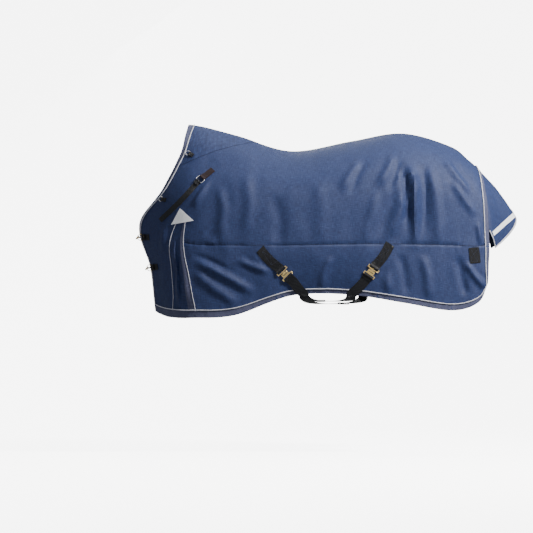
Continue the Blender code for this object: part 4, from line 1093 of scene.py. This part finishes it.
def stitch_box(node, side, a, b, width):
    piece = bpy.data.objects[node + "_web"]
    a, b = Vector(a), Vector(b)
    along = (b - a).normalized()
    across = Vector((-along.y, along.x)) * (width / 2 - BOX_INSET)
    a, b = a + along * BOX_INSET, b - along * BOX_INSET
    deselect()
    bpy.ops.mesh.primitive_cube_add(size=0.001)
    stitches = bpy.context.object
    stitches.name = node + "_stitches"
    shape = bmesh.new()
    corners = (a - across, a + across, b + across, b - across)
    for first, last in ((0, 1), (1, 2), (2, 3), (3, 0), (0, 2), (1, 3)):
        stitch_line(shape, piece, side, corners[first], corners[last])
    shape.to_mesh(stitches.data)
    shape.free()
    stitches.data.shade_smooth()
    dress(stitches, stitch_thread, "webbing", "rug")


for node, side, a, b, width in SEWN_ENDS:
    stitch_box(node, side, a, b, width)

# ------------------------------------------------------------------------------------ rings and clips
# The neck and shoulder rings and the strap slides are bent from nickel-plated wire. The chest rings are
# brass wire, and the chest snaps, their swivels and the belly hook and eye plates are cast brass, with
# softened edges and a light wear.

SNAP_EDGE, PLATE_EDGE, SLIDE_EDGE = 0.0009, 0.0008, 0.0005
WIRE_LEVELS, SMOOTH_WIRE = 2, math.pi
WEAR_DETAIL, WEAR_RELIEF, WEAR_STRENGTH = 4.0, 0.0003, 0.15


def metal_finish(name, colour, worn, rough):
    finish, nodes, links, shader = new_finish(name, {"Metallic": 1.0})
    coordinates = nodes.new("ShaderNodeTexCoord").outputs["Object"]
    marks = yarn_mix(nodes, links, coordinates, ((220, 220, 220), (900, 900, 900)), WEAR_DETAIL)
    links.new(ramp(nodes, links, marks, ((0.35, worn), (0.55, colour))), shader.inputs["Base Color"])
    gloss = ramp(nodes, links, marks, ((0.3, (rough + 0.2,) * 3), (0.7, (rough,) * 3)))
    links.new(gloss, shader.inputs["Roughness"])
    links.new(bump(nodes, links, marks, WEAR_RELIEF, WEAR_STRENGTH), shader.inputs["Normal"])
    return finish


cast_brass = metal_finish("cast_brass", (0.92, 0.70, 0.32), (0.70, 0.49, 0.19), 0.34)
nickel_wire = metal_finish("nickel_wire", (0.90, 0.90, 0.92), (0.66, 0.66, 0.69), 0.34)


def softened(name, node, width):
    """A cast or bent piece from the frame with its flat facets joined and its edges rounded."""
    piece, shape = frame_copy(name, node)
    bmesh.ops.dissolve_limit(shape, angle_limit=math.radians(2), verts=shape.verts, edges=shape.edges)
    shape.to_mesh(piece.data)
    shape.free()
    return with_modifier(piece, "BEVEL", 35, width=width, segments=3, limit_method="ANGLE",
                         angle_limit=math.radians(30))


for word in LEFT_RIGHT:
    for place in UPPER_LOWER:
        node = f"neck_ring_{place}_{word}"
        ring = refined(node + "_wire", node, WIRE_LEVELS, SMOOTH_WIRE)
        dress(ring, nickel_wire, "nickel", node + "_body", node)
    node = "shoulder_ring_" + word
    dress(refined(node + "_wire", node, WIRE_LEVELS, SMOOTH_WIRE), nickel_wire, "nickel", "rug", node)
for place in UPPER_LOWER:
    node = "chest_ring_" + place
    dress(refined(node + "_wire", node, WIRE_LEVELS, SMOOTH_WIRE), cast_brass, "brass", node + "_body", node)
    for kind in ("chest_snap_", "chest_snap_gate_"):
        node = kind + place
        dress(softened(node + "_cast", node, SNAP_EDGE), cast_brass, "brass", node + "_body", node)
    node = "chest_swivel_" + place
    dress(softened(node + "_cast", node, PLATE_EDGE), cast_brass, "brass", "rug", node)
for place in FRONT_REAR:
    for kind in ("hook_plate", "eye_plate"):
        node = f"{place}_{kind}"
        dress(softened(node + "_cast", node, PLATE_EDGE), cast_brass, "brass", node + "_body", node)
    node = place + "_strap_slide"
    dress(softened(node + "_cast", node, SLIDE_EDGE), nickel_wire, "nickel", node + "_body", node)
